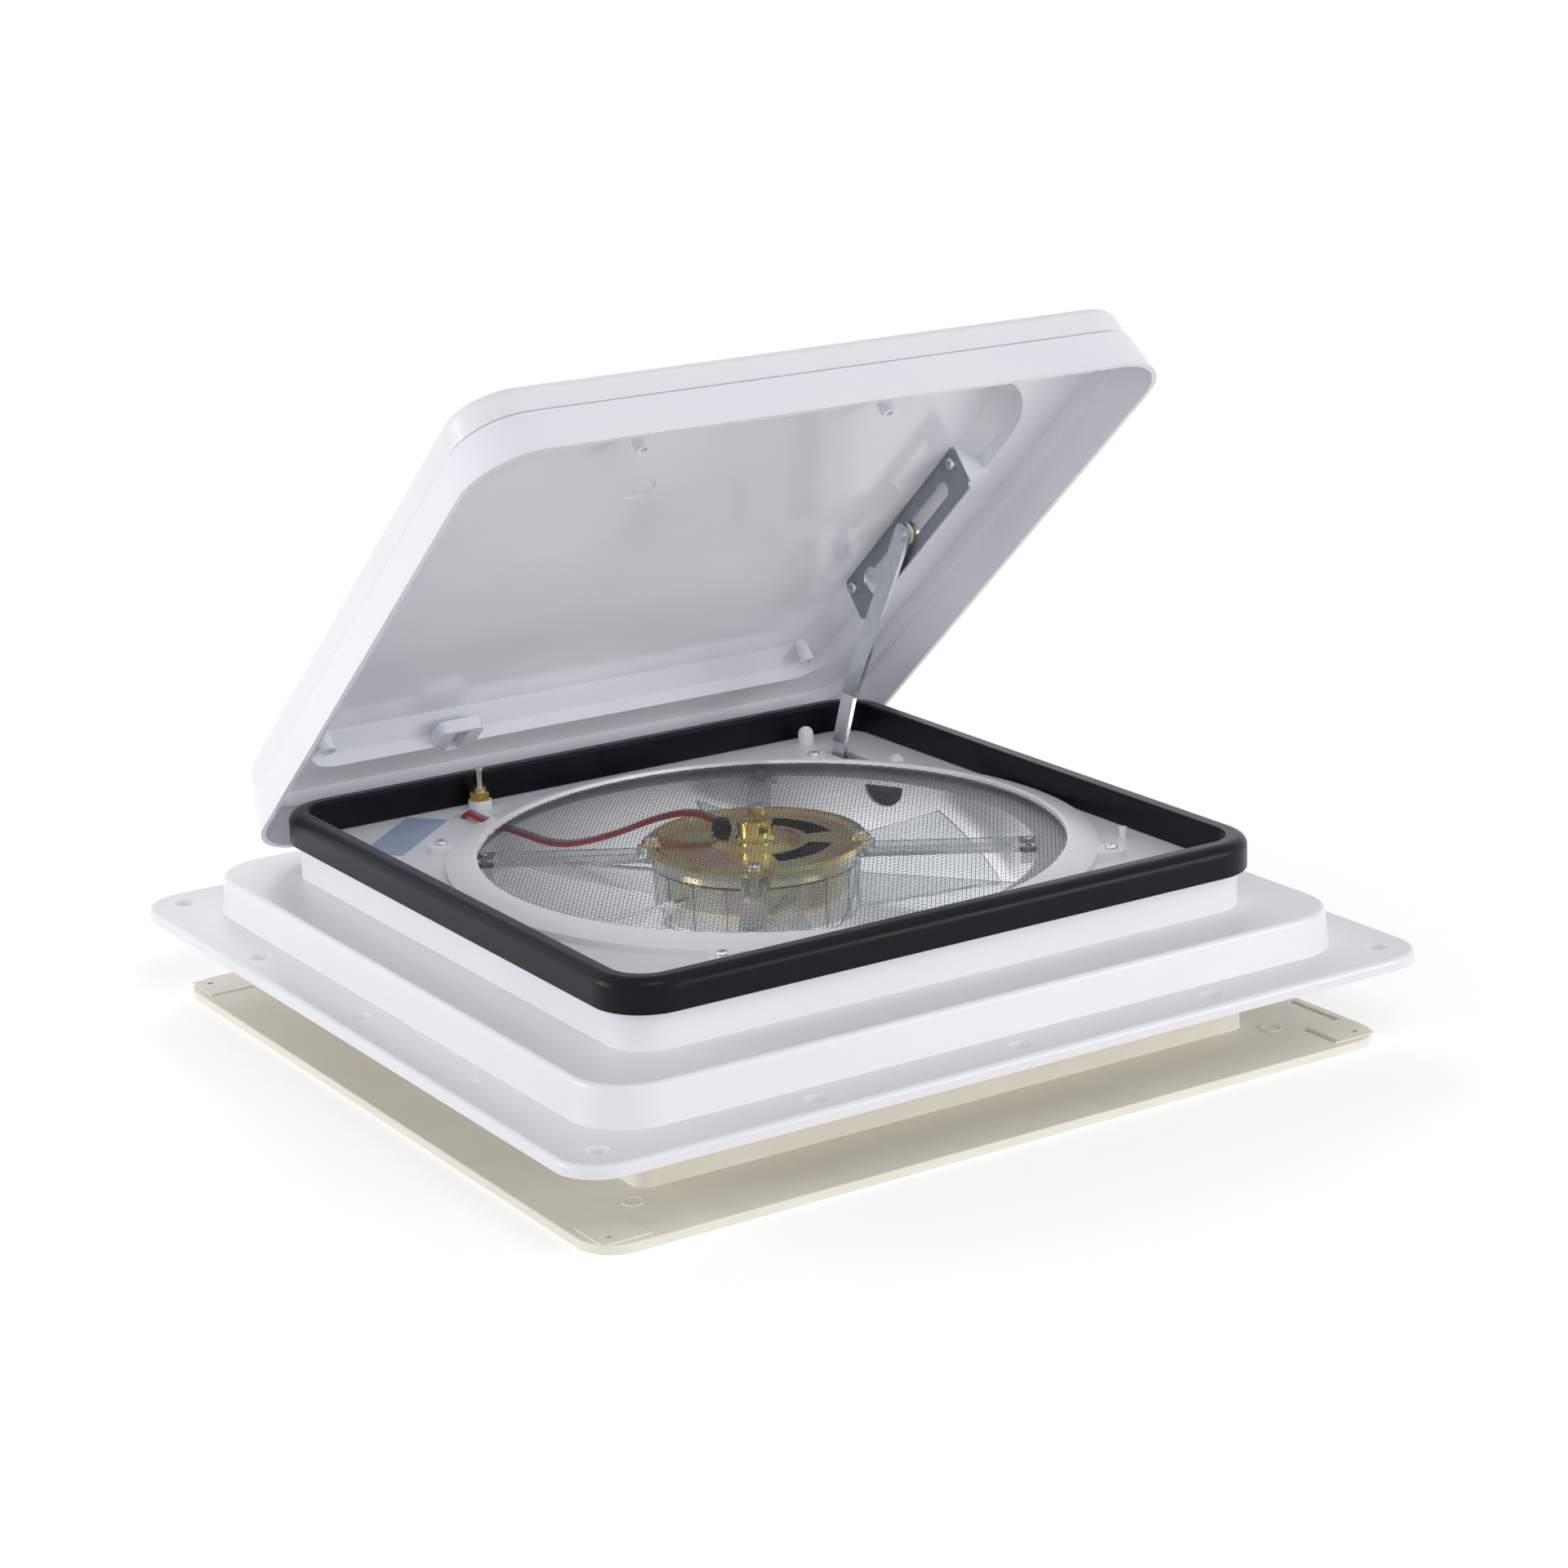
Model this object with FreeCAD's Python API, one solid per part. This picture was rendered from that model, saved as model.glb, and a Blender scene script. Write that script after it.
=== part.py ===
import FreeCAD, Part
import math
import os

Vector = FreeCAD.Vector

# Roof vent fan for a camper roof: a flanged base with a ducted fan, a hinged lid that a
# crank lifts, and a ceiling garnish. Millimetres. The origin is the centre of the roof
# flange's underside, +Z is up, the hinge side is +Y and the lid opens at -Y.

# Roof base, from the riser outwards
RISER_HALF = 198.0
RISER_CORNER = 25.0
RISER_HEIGHT = 20.0
LIP_RISE = 8.0
WALL = 3.0
STEP_LEDGE = 38.0
STEP_DRAFT = 2.5
STEP_HEIGHT = 22.0
STEP_CORNER = 34.0
STEP_EDGE = 3.0
FLANGE_LEDGE = 30.0
FLANGE_THICK = 7.0
FLANGE_CORNER = 25.0
FLANGE_EDGE = 3.0
TAPE_DEPTH = 1.5
TAPE_LIP = 6.0
HOLE_PAD = 6.0
CORNER_HOLE_INSET = 22.0
SIDE_HOLE_INSET = 15.5
HOLE_PITCH = 124.0
HOLE_RADIUS = 2.75
SINK_RADIUS = 6.0

# Collars and ceiling garnish
COLLAR_INSET = 4.0
COLLAR_WALL = 2.5
COLLAR_CORNER = 8.0
COLLAR_GAP = 3.0
SLIDE_FIT = 0.4
BASE_COLLAR_DROP = 30.0
ROOF_GAP = 43.0
GARNISH_LEDGE = 55.0
GARNISH_CORNER = 21.0
GARNISH_SHEET = 2.5
GARNISH_LIP = 5.0
GARNISH_EDGE = 1.2
GARNISH_RIM = 9.0
GARNISH_HOLE_INSET = 13.0
GARNISH_HOLE = 2.0
PAD_INNER = 20.0
PAD_OUTER = 8.0
PAD_RISE = 0.6
MARK_INSET = 10.0
MARK_RADIUS = 6.0
MARK_LINE = 1.0
GROOVE_WIDTH = 4.0
GROOVE_DEPTH = 1.5
GROOVE_MARGIN = 5.0
SHORT_GROOVE = 26.0
LONG_GROOVE = 41.0

# Bulb gasket on the riser's lip
GASKET_RISE = 19.0
GASKET_OUTER_LEG = 5.5
GASKET_INNER_LEG = 3.5
GASKET_SKIRT = 7.5
GASKET_ROUND = 6.0
GASKET_INNER_ROUND = 1.6
GASKET_FOOT_ROUND = 1.2
GASKET_JOINT_X = 10.0
GASKET_JOINT = 0.5

# Lid, measured as it lies when closed
OPEN_ANGLE = 40.77
LID_OVERHANG = 18.0
LID_CORNER = 38.0
LID_CROWN_CORNER = 14.0
LID_WALL = 3.0
SKIRT_DEPTH = 21.3
SKIRT_DRAFT = 4.0
SHOULDER_INSET = 9.7
SHOULDER_RISE = 9.0
SHOULDER_SHEET = 2.0
LAND_SHEET = 2.7
SEAL_CLEARANCE = 0.3
RECESS_INSET = 36.0
RECESS_BACK_CORNER = 24.0
RECESS_FRONT_CORNER = 90.0
RECESS_DEPTH = 8.5
CROWN_RUN = 13.0
CROWN_RISE = 9.0
COVER_GROOVE = 1.6
COVER_INSET = 1.5
COVER_SIDE = 15.9
COVER_EDGE_ROUND = 6.0
DOME_RUN = 27.0
DOME_RISE = 11.9
CAP_RUN = 38.0
CAP_RISE = 5.5
BOSS_RADIUS = 4.5
BOSS_HOLE = 2.0
BOSS_HEIGHT = 14.0
CORNER_BOSS_INSET = 14.0
FRONT_BOSS_X = 78.0
FRONT_BOSS_INSET = 42.0
GATE_MARK_X = -48.0
GATE_MARK_REACH = 286.0
GATE_MARK_RADIUS = 10.0
GATE_MARK_DEPTH = 0.6

# Lid hinge
HINGE_INSET = 2.4
HINGE_DROP = 0.6
HINGE_X = 130.0
HINGE_BARREL = 5.0
HINGE_PIN = 2.0
PIN_HEAD_SPREAD = 1.5
PIN_HEAD_LENGTH = 2.0
LID_LUG = 20.0
BASE_LUG = 10.0
LUG_GAP = 0.5
NOTCH_GAP = 0.8

# Screen ring and mesh
RING_MARGIN = 8.5
RING_X = 7.0
RING_Y = -6.0
RING_WIDTH = 17.5
RING_RISE = 8.0
RING_EDGE = 4.0
RING_SHEET = 2.2
RING_LIP = 1.0
TAB_ANGLE = 50.0
TAB_OFFSET = 7.0
TAB_RADIUS = 8.0
TAB_THICK = 4.0
NOTCH_WIDTH = 14.0
NOTCH_REACH = 7.0
NOTCH_LENGTH = 24.0
MESH_RISE = 16.0
MESH_SHEET = 0.8
MESH_SEAT = 1.5
MESH_PITCH = 17.0
MESH_GAP = 14.5
MESH_BORDER = 3.0
MESH_FIT = 0.3

# Motor
CAN_RADIUS = 52.0
CAN_DEPTH = 30.0
CAN_SHEET = 2.0
CAN_ROUND = 4.0
MOTOR_RISE = 8.0
PLATE_SHEET = 2.0
PLATE_RIM = 10.0
RIM_ROLL = 4.0
RIM_RISE = 1.0
DISH_SLOPE = 3.0
DISH_DEPTH = 0.5
PLATE_BOSS = 20.0
PLATE_BOSS_RISE = 1.5
PLATE_BOSS_SLOPE = 6.0
VENT_INNER = 30.0
VENT_OUTER = 44.0
VENT_TURNS = (255.0, 345.0)
VENT_SPAN = 60.0
EAR_INSET = 3.5
EAR_RADIUS = 6.0
BEARING_BOSS = 10.0
BEARING_RISE = 9.0
BEARING_RADIUS = 7.0
BEARING_LENGTH = 6.5
BEARING_LIP = 1.0
CAP_HEIGHT = 2.5
CAP_RIDGE = 0.5
CAP_RIDGES = (1.2, 3.4, 5.6, 7.6)
SHAFT_RADIUS = 4.0
SHAFT_FIT = 0.03
MAGNET_THICK = 6.0
MAGNET_GAP = 24.0
AIR_GAP = 1.2
CORE_SLOTS = 12
SLOT_DEPTH = 14.0
CORE_SLOT = 5.0
COMMUTATOR_RADIUS = 13.0
COMMUTATOR_LENGTH = 5.0
BRUSH_LENGTH = 14.0
BRUSH_WIDTH = 6.0
BRUSH_GAP = 0.3

# Motor spider and fan
SPIDER_ANGLE = 57.0
SPIDER_DEPTH = 8.0
SPIDER_ARM = 14.0
SPIDER_WALL = 2.4
SPIDER_STEP = 3.0
SPIDER_FIT = 0.4
LEDGE_LENGTH = 10.0
LEDGE_DEPTH = 6.0
LEDGE_MARGIN = 3.0
FOOT_GAP = 1.0
DUCT_MARGIN = 7.5
DUCT_WALL = 2.5
WINDOW_RADIUS = 13.0
WINDOW_DROP = 3.0
WINDOW_ANGLE = 29.0
HUB_SIDE_GAP = 3.0
HUB_WALL = 3.0
HUB_GAP = 2.0
HUB_ROUND = 4.0
HUB_BOSS = 10.0
HUB_BOSS_DROP = 6.0
HUB_RIBS = 18
RIB_WIDTH = 2.4
RIB_RISE = 1.2
BLADES = 6
TIP_GAP = 8.0
BLADE_SHEET = 2.2
BLADE_DROP = 21.0
ROOT_CHORD = 46.0
ROOT_PITCH = 38.0
TIP_CHORD = 72.0
TIP_PITCH = 24.0
FAN_NUT_FLATS = 13.0
FAN_NUT_HEIGHT = 6.0
SHAFT_TAIL = 1.5

# Lift bracket, arm and roller
BRACKET_INSET = 51.0
BRACKET_SHEET = 1.5
BRACKET_START = 123.6
BRACKET_LENGTH = 155.0
BRACKET_WIDTH = 27.0
BRACKET_CORNER = 4.0
BRACKET_GAP = 0.3
SLOT_DROP = 14.3
SLOT_WIDTH = 9.6
SLOT_MARGIN = 20.0
KEYHOLE_AT = 27.0
KEYHOLE_RADIUS = 8.5
BLOCK_LENGTH = 14.0
BLOCK_DEPTH = 20.8
BRACKET_SCREW_INSET = 7.0
ROLLER_AT = 204.6
ROLLER_OFFSET = 0.6
ROLLER_HUB = 3.7
ROLLER_FLANGE = 6.5
ROLLER_GAP = 0.5
ROLLER_END_GAP = 0.2
RIVET_RADIUS = 2.0
RIVET_HEAD = 4.0
RIVET_HEAD_THICK = 1.2
RIVET_WASHER = 6.0
RIVET_WASHER_THICK = 2.0
ARM_WIDTH = 13.0
ARM_SHEET = 2.5
ARM_GAP = 2.75
ARM_JOGGLE = 10.0
PIVOT_INSET = 53.0
PIVOT_DROP = 16.0
ARM_FOOT = (-2.0, 24.0)
ARM_KNEE = (1.0, 52.0)
ARM_SLOT_SIDE = 3.0
ARM_SLOT_FRONT = 40.0
ARM_SLOT_BACK = 9.0

# Lift gear
PIVOT_RADIUS = 3.0
PIN_FIT = 0.05
WHEEL_TEETH = 28
WHEEL_MODULE = 0.8
WHEEL_WIDTH = 8.0
WORM_TEETH_RISE = 1.4
WORM_CORE = 3.4
WORM_LENGTH = 18.0
WORM_FIT = 0.3
THREAD_ROOT = 1.6
THREAD_CREST = 0.7
CHEEK = 3.0
BOX_SIDE_GAP = 1.5
BOX_ARM_GAP = 6.75
BOX_FRONT = 12.0
BOX_BEHIND = 26.0
BOX_DEPTH = 30.0
LIFT_SHAFT = 3.0
KNOB_RADIUS = 16.0
KNOB_HEIGHT = 10.0
KNOB_FLOOR = 2.0
KNOB_ROUND = 1.5
KNOB_SCALLOPS = 6
SCALLOP_REACH = 3.0
SCALLOP_RADIUS = 6.0

# Lid switch
SWITCH_X = -79.5
SWITCH_INSET = 17.0
SWITCH_BOSS = 7.0
SWITCH_BOSS_RISE = 5.0
SWITCH_BODY = 4.0
SWITCH_DROP = 24.0
SWITCH_TAIL = 8.0
SWITCH_TAIL_SPREAD = 2.0
SWITCH_FLOOR = 3.0
SWITCH_NUT_FLATS = 11.0
SWITCH_NUT_HEIGHT = 5.5
SWITCH_NECK = 2.5
PLUNGER_RADIUS = 2.0
PLUNGER_RISE = 11.5
PLUNGER_HEAD_SPREAD = 0.6
PLUNGER_HEAD_LENGTH = 2.0
PLUNGER_SHOULDER = 0.9
PLUNGER_FIT = 0.05
CHAMBER_ROOM = 0.3
POCKET_WIDTH = 28.0
POCKET_SLOT = 9.0
POCKET_ROUND = 4.0
POCKET_FRONT = 17.2
POCKET_BACK = 9.5
POCKET_WALL = 2.2
POCKET_ROOM = 0.6

# Underside, controls and small pieces
COVER_SHEET = 2.5
POST_INSET = 22.0
POST_RADIUS = 5.0
SPEED_X_INSET = 53.0
SPEED_Y_INSET = 40.0
SPEED_BODY = 22.0
SPEED_HEIGHT = 14.0
SPEED_BUSH = 4.5
SPEED_BUSH_DROP = 2.0
SPEED_KNOB = 13.0
SPINDLE_ROOM = 1.0
SPINDLE_ROOF = 3.0
SUPPLY_X_INSET = 29.0
SUPPLY_Y = 105.0
SUPPLY_BORE = 3.0
GROMMET_RADIUS = 6.0
GROMMET_FLANGE = 2.0
GROMMET_LIP = 1.5
GROMMET_HEIGHT = 6.0
GROMMET_TAPER = 1.8
BALL_X = 149.0
BALL_INSET = 19.0
BALL_RADIUS = 4.8
BALL_RISE = 6.0
PEG_INSET = 19.5
PEG_Y = -105.0
PEG_RADIUS = 2.3
PEG_RISE = 6.0
DOME_INSET = 26.0
DOME_Y = 112.0
DOME_RADIUS = 5.5
DOME_SINK = 2.0
LABEL_LENGTH = 72.0
LABEL_WIDTH = 26.0
LABEL_SHEET = 0.3
LABEL_ANGLE = 42.0
LABEL_X_INSET = 56.0
LABEL_Y_INSET = 42.5

# Screws, wires and fits
PAN_HEAD_SPREAD = 2.1
PAN_HEAD_RISE = 1.4
TAB_SCREW = 1.7
TAB_SCREW_LENGTH = 8.0
EAR_SCREW = 2.0
FOOT_SCREW = 1.3
FOOT_SCREW_LENGTH = 8.0
BRACKET_SCREW = 1.7
BRACKET_SCREW_LENGTH = 11.0
COVER_SCREW = 1.6
COVER_SCREW_LENGTH = 16.0
SCREW_POST_WALL = 2.3
SCREW_POST_DEPTH = 9.0
SCREW_CLEARANCE = 0.4
WIRE_RADIUS = 1.5
WIRE_STEP_X = 3.4
WIRE_STEP_Y = 3.0
WIRE_HOLE = 5.0
WIRE_ROUTE = [
    (-98, 172, 36), (-98, 171, 54), (-95, 146, 51), (-90, 116, 51), (-84, 78, 49.5),
    (-62, 56, 57), (-34, 48, 65.5), (-13, 36, 67.5), (-9, 23, 61)]
TOUCH = 0.02

# Levels and places worked out from the sizes above
STEP_HALF = RISER_HALF + STEP_LEDGE
FLANGE_HALF = STEP_HALF + FLANGE_LEDGE
STEP_TOP = FLANGE_THICK + STEP_HEIGHT
DECK_TOP = STEP_TOP + RISER_HEIGHT
DECK_UNDER = DECK_TOP - WALL
LIP_TOP = DECK_TOP + LIP_RISE
COLLAR_HALF = RISER_HALF - COLLAR_INSET
BASE_COLLAR_HALF = COLLAR_HALF - COLLAR_WALL - SLIDE_FIT
BASE_BOTTOM = -BASE_COLLAR_DROP
GARNISH_HALF = COLLAR_HALF + GARNISH_LEDGE
GARNISH_TOP = -ROOF_GAP
GARNISH_BOTTOM = GARNISH_TOP - GARNISH_LIP
GARNISH_OPENING = COLLAR_HALF - GARNISH_RIM
GASKET_TOP = DECK_TOP + GASKET_RISE
GASKET_INNER = RISER_HALF - WALL - GASKET_INNER_LEG
LID_HALF = RISER_HALF + LID_OVERHANG
LAND_Z = GASKET_TOP + SEAL_CLEARANCE
SHOULDER_Z = LAND_Z - SHOULDER_RISE
LID_RIM_Z = SHOULDER_Z - SKIRT_DEPTH
SKIRT_TOP = SHOULDER_Z + LAND_SHEET
CREASE_Z = LAND_Z + RECESS_DEPTH
PANEL_Z = CREASE_Z + CROWN_RISE
HINGE_Y = LID_HALF - HINGE_INSET
HINGE_Z = LID_RIM_Z - HINGE_DROP
HINGE_SPAN = LID_LUG / 2 + LUG_GAP + BASE_LUG
RING_OUTER = GASKET_INNER - RING_MARGIN
RING_INNER = RING_OUTER - RING_WIDTH
RING_TOP = DECK_TOP + RING_RISE
TAB_REACH = RING_OUTER + TAB_OFFSET
MESH_EDGE = RING_INNER - MESH_FIT
MESH_EDGE_Z = RING_TOP - MESH_SEAT
DUCT_RADIUS = RING_INNER - DUCT_MARGIN
MOTOR_TOP = DECK_TOP + MOTOR_RISE
PLATE_RADIUS = CAN_RADIUS + PLATE_RIM
EAR_REACH = PLATE_RADIUS - EAR_INSET
CAN_TOP = MOTOR_TOP - PLATE_SHEET
CAN_BOTTOM = CAN_TOP - CAN_DEPTH
CAN_BOSS_BOTTOM = CAN_BOTTOM - BEARING_LENGTH - BEARING_LIP
BEARING_TOP = MOTOR_TOP + BEARING_RISE
CORE_RADIUS = CAN_RADIUS - CAN_SHEET - MAGNET_THICK - AIR_GAP
COMMUTATOR_TOP = CAN_TOP - BRUSH_GAP - CAN_SHEET
CORE_TOP = COMMUTATOR_TOP - COMMUTATOR_LENGTH
CORE_BOTTOM = CAN_BOTTOM + CAN_ROUND + COMMUTATOR_LENGTH
SPIDER_BOTTOM = CAN_TOP - SPIDER_DEPTH
SPIDER_ARM_TOP = CAN_TOP - SPIDER_STEP
LEDGE_REACH = DUCT_RADIUS - LEDGE_LENGTH / 2
HUB_RADIUS = CAN_RADIUS + HUB_SIDE_GAP + HUB_WALL
HUB_TOP = SPIDER_BOTTOM - HUB_GAP
HUB_FLOOR = CAN_BOSS_BOTTOM - HUB_GAP - HUB_WALL
HUB_BOSS_BOTTOM = HUB_FLOOR - HUB_BOSS_DROP
FAN_NUT_BOTTOM = HUB_BOSS_BOTTOM - FAN_NUT_HEIGHT
BLADE_TIP = DUCT_RADIUS - TIP_GAP
BRACKET_X = LID_HALF - BRACKET_INSET
BRACKET_BACK_X = BRACKET_X + BRACKET_SHEET
BRACKET_TOP = PANEL_Z - BRACKET_GAP
SLOT_Z = PANEL_Z - SLOT_DROP
ARM_UP_X = BRACKET_X - ARM_GAP - ARM_SHEET / 2
ARM_LOW_X = ARM_UP_X - ARM_JOGGLE
PIVOT_Y = RISER_HALF - PIVOT_INSET
PIVOT_Z = DECK_TOP - PIVOT_DROP
WHEEL_TIP = WHEEL_MODULE * (WHEEL_TEETH / 2 + 1)
WHEEL_ROOT = WHEEL_MODULE * (WHEEL_TEETH / 2 - 1.2)
WHEEL_END_X = ARM_LOW_X - ARM_SHEET / 2
WORM_X = WHEEL_END_X - WHEEL_WIDTH / 2
WORM_RADIUS = WORM_CORE + WORM_TEETH_RISE
WORM_Y = PIVOT_Y + WHEEL_TIP + WORM_FIT + WORM_RADIUS
BOX_LOW_X = WHEEL_END_X - WHEEL_WIDTH - BOX_SIDE_GAP - CHEEK
BOX_HIGH_X = ARM_LOW_X + ARM_SHEET / 2 + BOX_ARM_GAP + CHEEK
BOX_BOTTOM = DECK_UNDER - BOX_DEPTH
KNOB_BOTTOM = GARNISH_BOTTOM + KNOB_FLOOR
KNOB_TOP = KNOB_BOTTOM + KNOB_HEIGHT
COVER_TOP = BASE_BOTTOM + COVER_SHEET
SWITCH_Y = RISER_HALF - SWITCH_INSET
NUT_BOTTOM = DECK_TOP + SWITCH_BOSS_RISE
NUT_TOP = NUT_BOTTOM + SWITCH_NUT_HEIGHT
NECK_TOP = NUT_TOP + SWITCH_NECK
PLUNGER_TOP = NECK_TOP + PLUNGER_RISE
SWITCH_BOTTOM = DECK_TOP - SWITCH_DROP
CHAMBER_FLOOR = SWITCH_BOTTOM + SWITCH_FLOOR
CHAMBER_ROOF = NECK_TOP - SWITCH_NECK
CHAMBER_RADIUS = PLUNGER_RADIUS + PLUNGER_SHOULDER + CHAMBER_ROOM
SHOULDER_TOP = CHAMBER_ROOF - CHAMBER_ROOM
SHOULDER_BOTTOM = SHOULDER_TOP - PLUNGER_HEAD_LENGTH
POST_PLACE = COLLAR_HALF - POST_INSET
SPEED_X = -(RISER_HALF - SPEED_X_INSET)
SPEED_Y = RISER_HALF - SPEED_Y_INSET
SUPPLY_X = -(COLLAR_HALF - SUPPLY_X_INSET)
GROMMET_X = WIRE_ROUTE[-1][0] + WIRE_STEP_X / 2
GROMMET_Y = WIRE_ROUTE[-1][1] + WIRE_STEP_Y / 2
WIRE_HOLE_X = WIRE_ROUTE[0][0] + WIRE_STEP_X / 2
WIRE_HOLE_Y = WIRE_ROUTE[0][1] + WIRE_STEP_Y / 2
CORNERS = [(1, 1), (-1, 1), (-1, -1), (1, -1)]


# Basic shapes

def outline(half, radius, z, front_radius=None):
    """A rounded square as a wire; the two corners at -Y may have their own radius."""
    front = radius if front_radius is None else front_radius
    arcs = []
    for turn, (side, face) in enumerate(CORNERS):
        r = radius if face > 0 else front
        centre = Vector(side * (half - r), face * (half - r), z)
        angles = [math.radians(90 * turn + part) for part in (0, 45, 90)]
        arcs.append([centre + Vector(r * math.cos(a), r * math.sin(a), 0) for a in angles])
    edges = []
    for arc, following in zip(arcs, arcs[1:] + arcs[:1]):
        edges.append(Part.Arc(*arc).toShape())
        edges.append(Part.LineSegment(arc[2], following[0]).toShape())
    return Part.Wire(edges)


def square_slab(half, radius, low, high):
    return Part.Face(outline(half, radius, low)).extrude(Vector(0, 0, high - low))


def taper(lower, upper):
    return Part.makeLoft([lower, upper], True, True)


def block(low, high):
    size = [b - a for a, b in zip(low, high)]
    return Part.makeBox(*size, Vector(*low))


def post(radius, x, y, low, high):
    """An upright cylinder."""
    return Part.makeCylinder(radius, high - low, Vector(x, y, low))


def axle(radius, start_x, end_x, y, z):
    """A cylinder along the X axis."""
    return Part.makeCylinder(radius, end_x - start_x, Vector(start_x, y, z), Vector(1, 0, 0))


def turned(points):
    """A ring or disc turned about the Z axis from radius and height pairs."""
    corners = [Vector(r, 0, z) for r, z in points]
    face = Part.Face(Part.makePolygon(corners + corners[:1]))
    return face.revolve(Vector(0, 0, 0), Vector(0, 0, 1), 360)


def tube(outer, inner, low, high):
    return turned([(inner, low), (outer, low), (outer, high), (inner, high)])


def level_edges(shape, z):
    """The edges of a shape that lie flat at one height."""
    flat = []
    for edge in shape.Edges:
        box = edge.BoundBox
        if max(abs(box.ZMin - z), abs(box.ZMax - z)) < 1e-4:
            flat.append(edge)
    return flat


def about_axis(shape, count, first=0.0):
    copies = []
    for index in range(count):
        copy = shape.copy()
        copy.rotate(Vector(0, 0, 0), Vector(0, 0, 1), first + 360.0 * index / count)
        copies.append(copy)
    return copies


def at_tabs(shape):
    """Copies of a shape on the +X axis, turned and moved to the screen ring's four tabs."""
    return [moved(copy, (RING_X, RING_Y, 0)) for copy in about_axis(shape, 4, TAB_ANGLE)]


def at_arms(shape):
    """Copies of a shape on the +X axis, turned to the spider's four arms."""
    return about_axis(shape, 4, SPIDER_ANGLE)


def moved(shape, place):
    copy = shape.copy()
    copy.translate(Vector(*place))
    return copy


def joined(shapes):
    return shapes[0].multiFuse(shapes[1:]).removeSplitter()


def pan_screw(radius, length):
    """A pan-head screw with a cross recess, its head on z = 0 and its shank along -Z."""
    head_radius = PAN_HEAD_SPREAD * radius
    height = PAN_HEAD_RISE * radius
    head = Part.makeCylinder(head_radius, height)
    head = head.makeFillet(0.6 * height, level_edges(head, height))
    screw = head.fuse(Part.makeCylinder(radius, length, Vector(0, 0, -length)))
    reach = 0.62 * head_radius
    slit = 0.13 * head_radius
    for along, across in ((reach, slit), (slit, reach)):
        screw = screw.cut(block((-along, -across, 0.45 * height), (along, across, height)))
    return screw


def hex_prism(flats, x, y, low, high):
    corner = flats / math.sqrt(3)
    angles = [math.radians(60 * k) for k in range(7)]
    points = [Vector(x + corner * math.cos(a), y + corner * math.sin(a), low) for a in angles]
    return Part.Face(Part.makePolygon(points)).extrude(Vector(0, 0, high - low))


def opened(shape):
    """Swing a lid piece from its closed place to its open one."""
    copy = shape.copy()
    copy.rotate(Vector(0, HINGE_Y, HINGE_Z), Vector(-1, 0, 0), OPEN_ANGLE)
    return copy


# Roof base

def flange_hole_places():
    corner = FLANGE_HALF - CORNER_HOLE_INSET
    side = FLANGE_HALF - SIDE_HOLE_INSET
    places = [(sx * corner, sy * corner) for sx, sy in CORNERS]
    for sign in (1, -1):
        for step in (-1, 0, 1):
            places.append((sign * side, step * HOLE_PITCH))
            places.append((step * HOLE_PITCH, sign * side))
    return places


def flange_holes():
    sink = SINK_RADIUS - HOLE_RADIUS
    low = FLANGE_THICK - sink
    cutters = []
    for x, y in flange_hole_places():
        cutters.append(post(HOLE_RADIUS, x, y, 0, FLANGE_THICK))
        cutters.append(Part.makeCone(HOLE_RADIUS, SINK_RADIUS, sink, Vector(x, y, low)))
    return cutters


def step_outline(inset, z):
    return outline(STEP_HALF - inset, STEP_CORNER - inset, z)


def base_shell():
    """Flange, step, riser with its lip, deck and the collar that drops through the roof."""
    flange = square_slab(FLANGE_HALF, FLANGE_CORNER, 0, FLANGE_THICK)
    flange = flange.makeFillet(FLANGE_EDGE, level_edges(flange, FLANGE_THICK))
    step = taper(step_outline(0, FLANGE_THICK), step_outline(STEP_DRAFT, STEP_TOP))
    step = step.makeFillet(STEP_EDGE, level_edges(step, STEP_TOP))
    riser = square_slab(RISER_HALF, RISER_CORNER, STEP_TOP, LIP_TOP)
    collar = square_slab(BASE_COLLAR_HALF, COLLAR_CORNER, BASE_BOTTOM, FLANGE_THICK)
    shell = flange.multiFuse([step, riser, collar])
    core = square_slab(BASE_COLLAR_HALF, COLLAR_CORNER, 0, STEP_TOP - WALL)
    under_step = taper(step_outline(WALL, 0), step_outline(WALL + STEP_DRAFT, STEP_TOP - WALL))
    tape = square_slab(FLANGE_HALF - TAPE_LIP, FLANGE_CORNER - TAPE_LIP, 0, TAPE_DEPTH)
    tape_inner = square_slab(STEP_HALF + TAPE_LIP, STEP_CORNER, 0, TAPE_DEPTH)
    pads = [post(HOLE_PAD, x, y, 0, TAPE_DEPTH) for x, y in flange_hole_places()]
    shell = shell.cut([under_step.cut(core), tape.cut([tape_inner] + pads)])
    bore = BASE_COLLAR_HALF - WALL
    shell = shell.cut(square_slab(bore, COLLAR_CORNER - WALL, BASE_BOTTOM, STEP_TOP))
    inner = RISER_HALF - WALL
    inner_corner = RISER_CORNER - WALL
    shell = shell.cut(square_slab(inner, inner_corner, STEP_TOP, DECK_UNDER))
    return shell.cut(square_slab(inner, inner_corner, DECK_TOP, LIP_TOP))


def lug_starts():
    """Where the two base knuckles beside each lid knuckle start."""
    starts = []
    for side in (1, -1):
        starts.append(side * HINGE_X - HINGE_SPAN)
        starts.append(side * HINGE_X + HINGE_SPAN - BASE_LUG)
    return starts


def base_lug(start):
    """A base knuckle standing on the step."""
    web = block((start, HINGE_Y - HINGE_BARREL, STEP_TOP - WALL / 2),
                (start + BASE_LUG, HINGE_Y + HINGE_BARREL, HINGE_Z))
    return web.fuse(axle(HINGE_BARREL, start, start + BASE_LUG, HINGE_Y, HINGE_Z))


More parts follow.
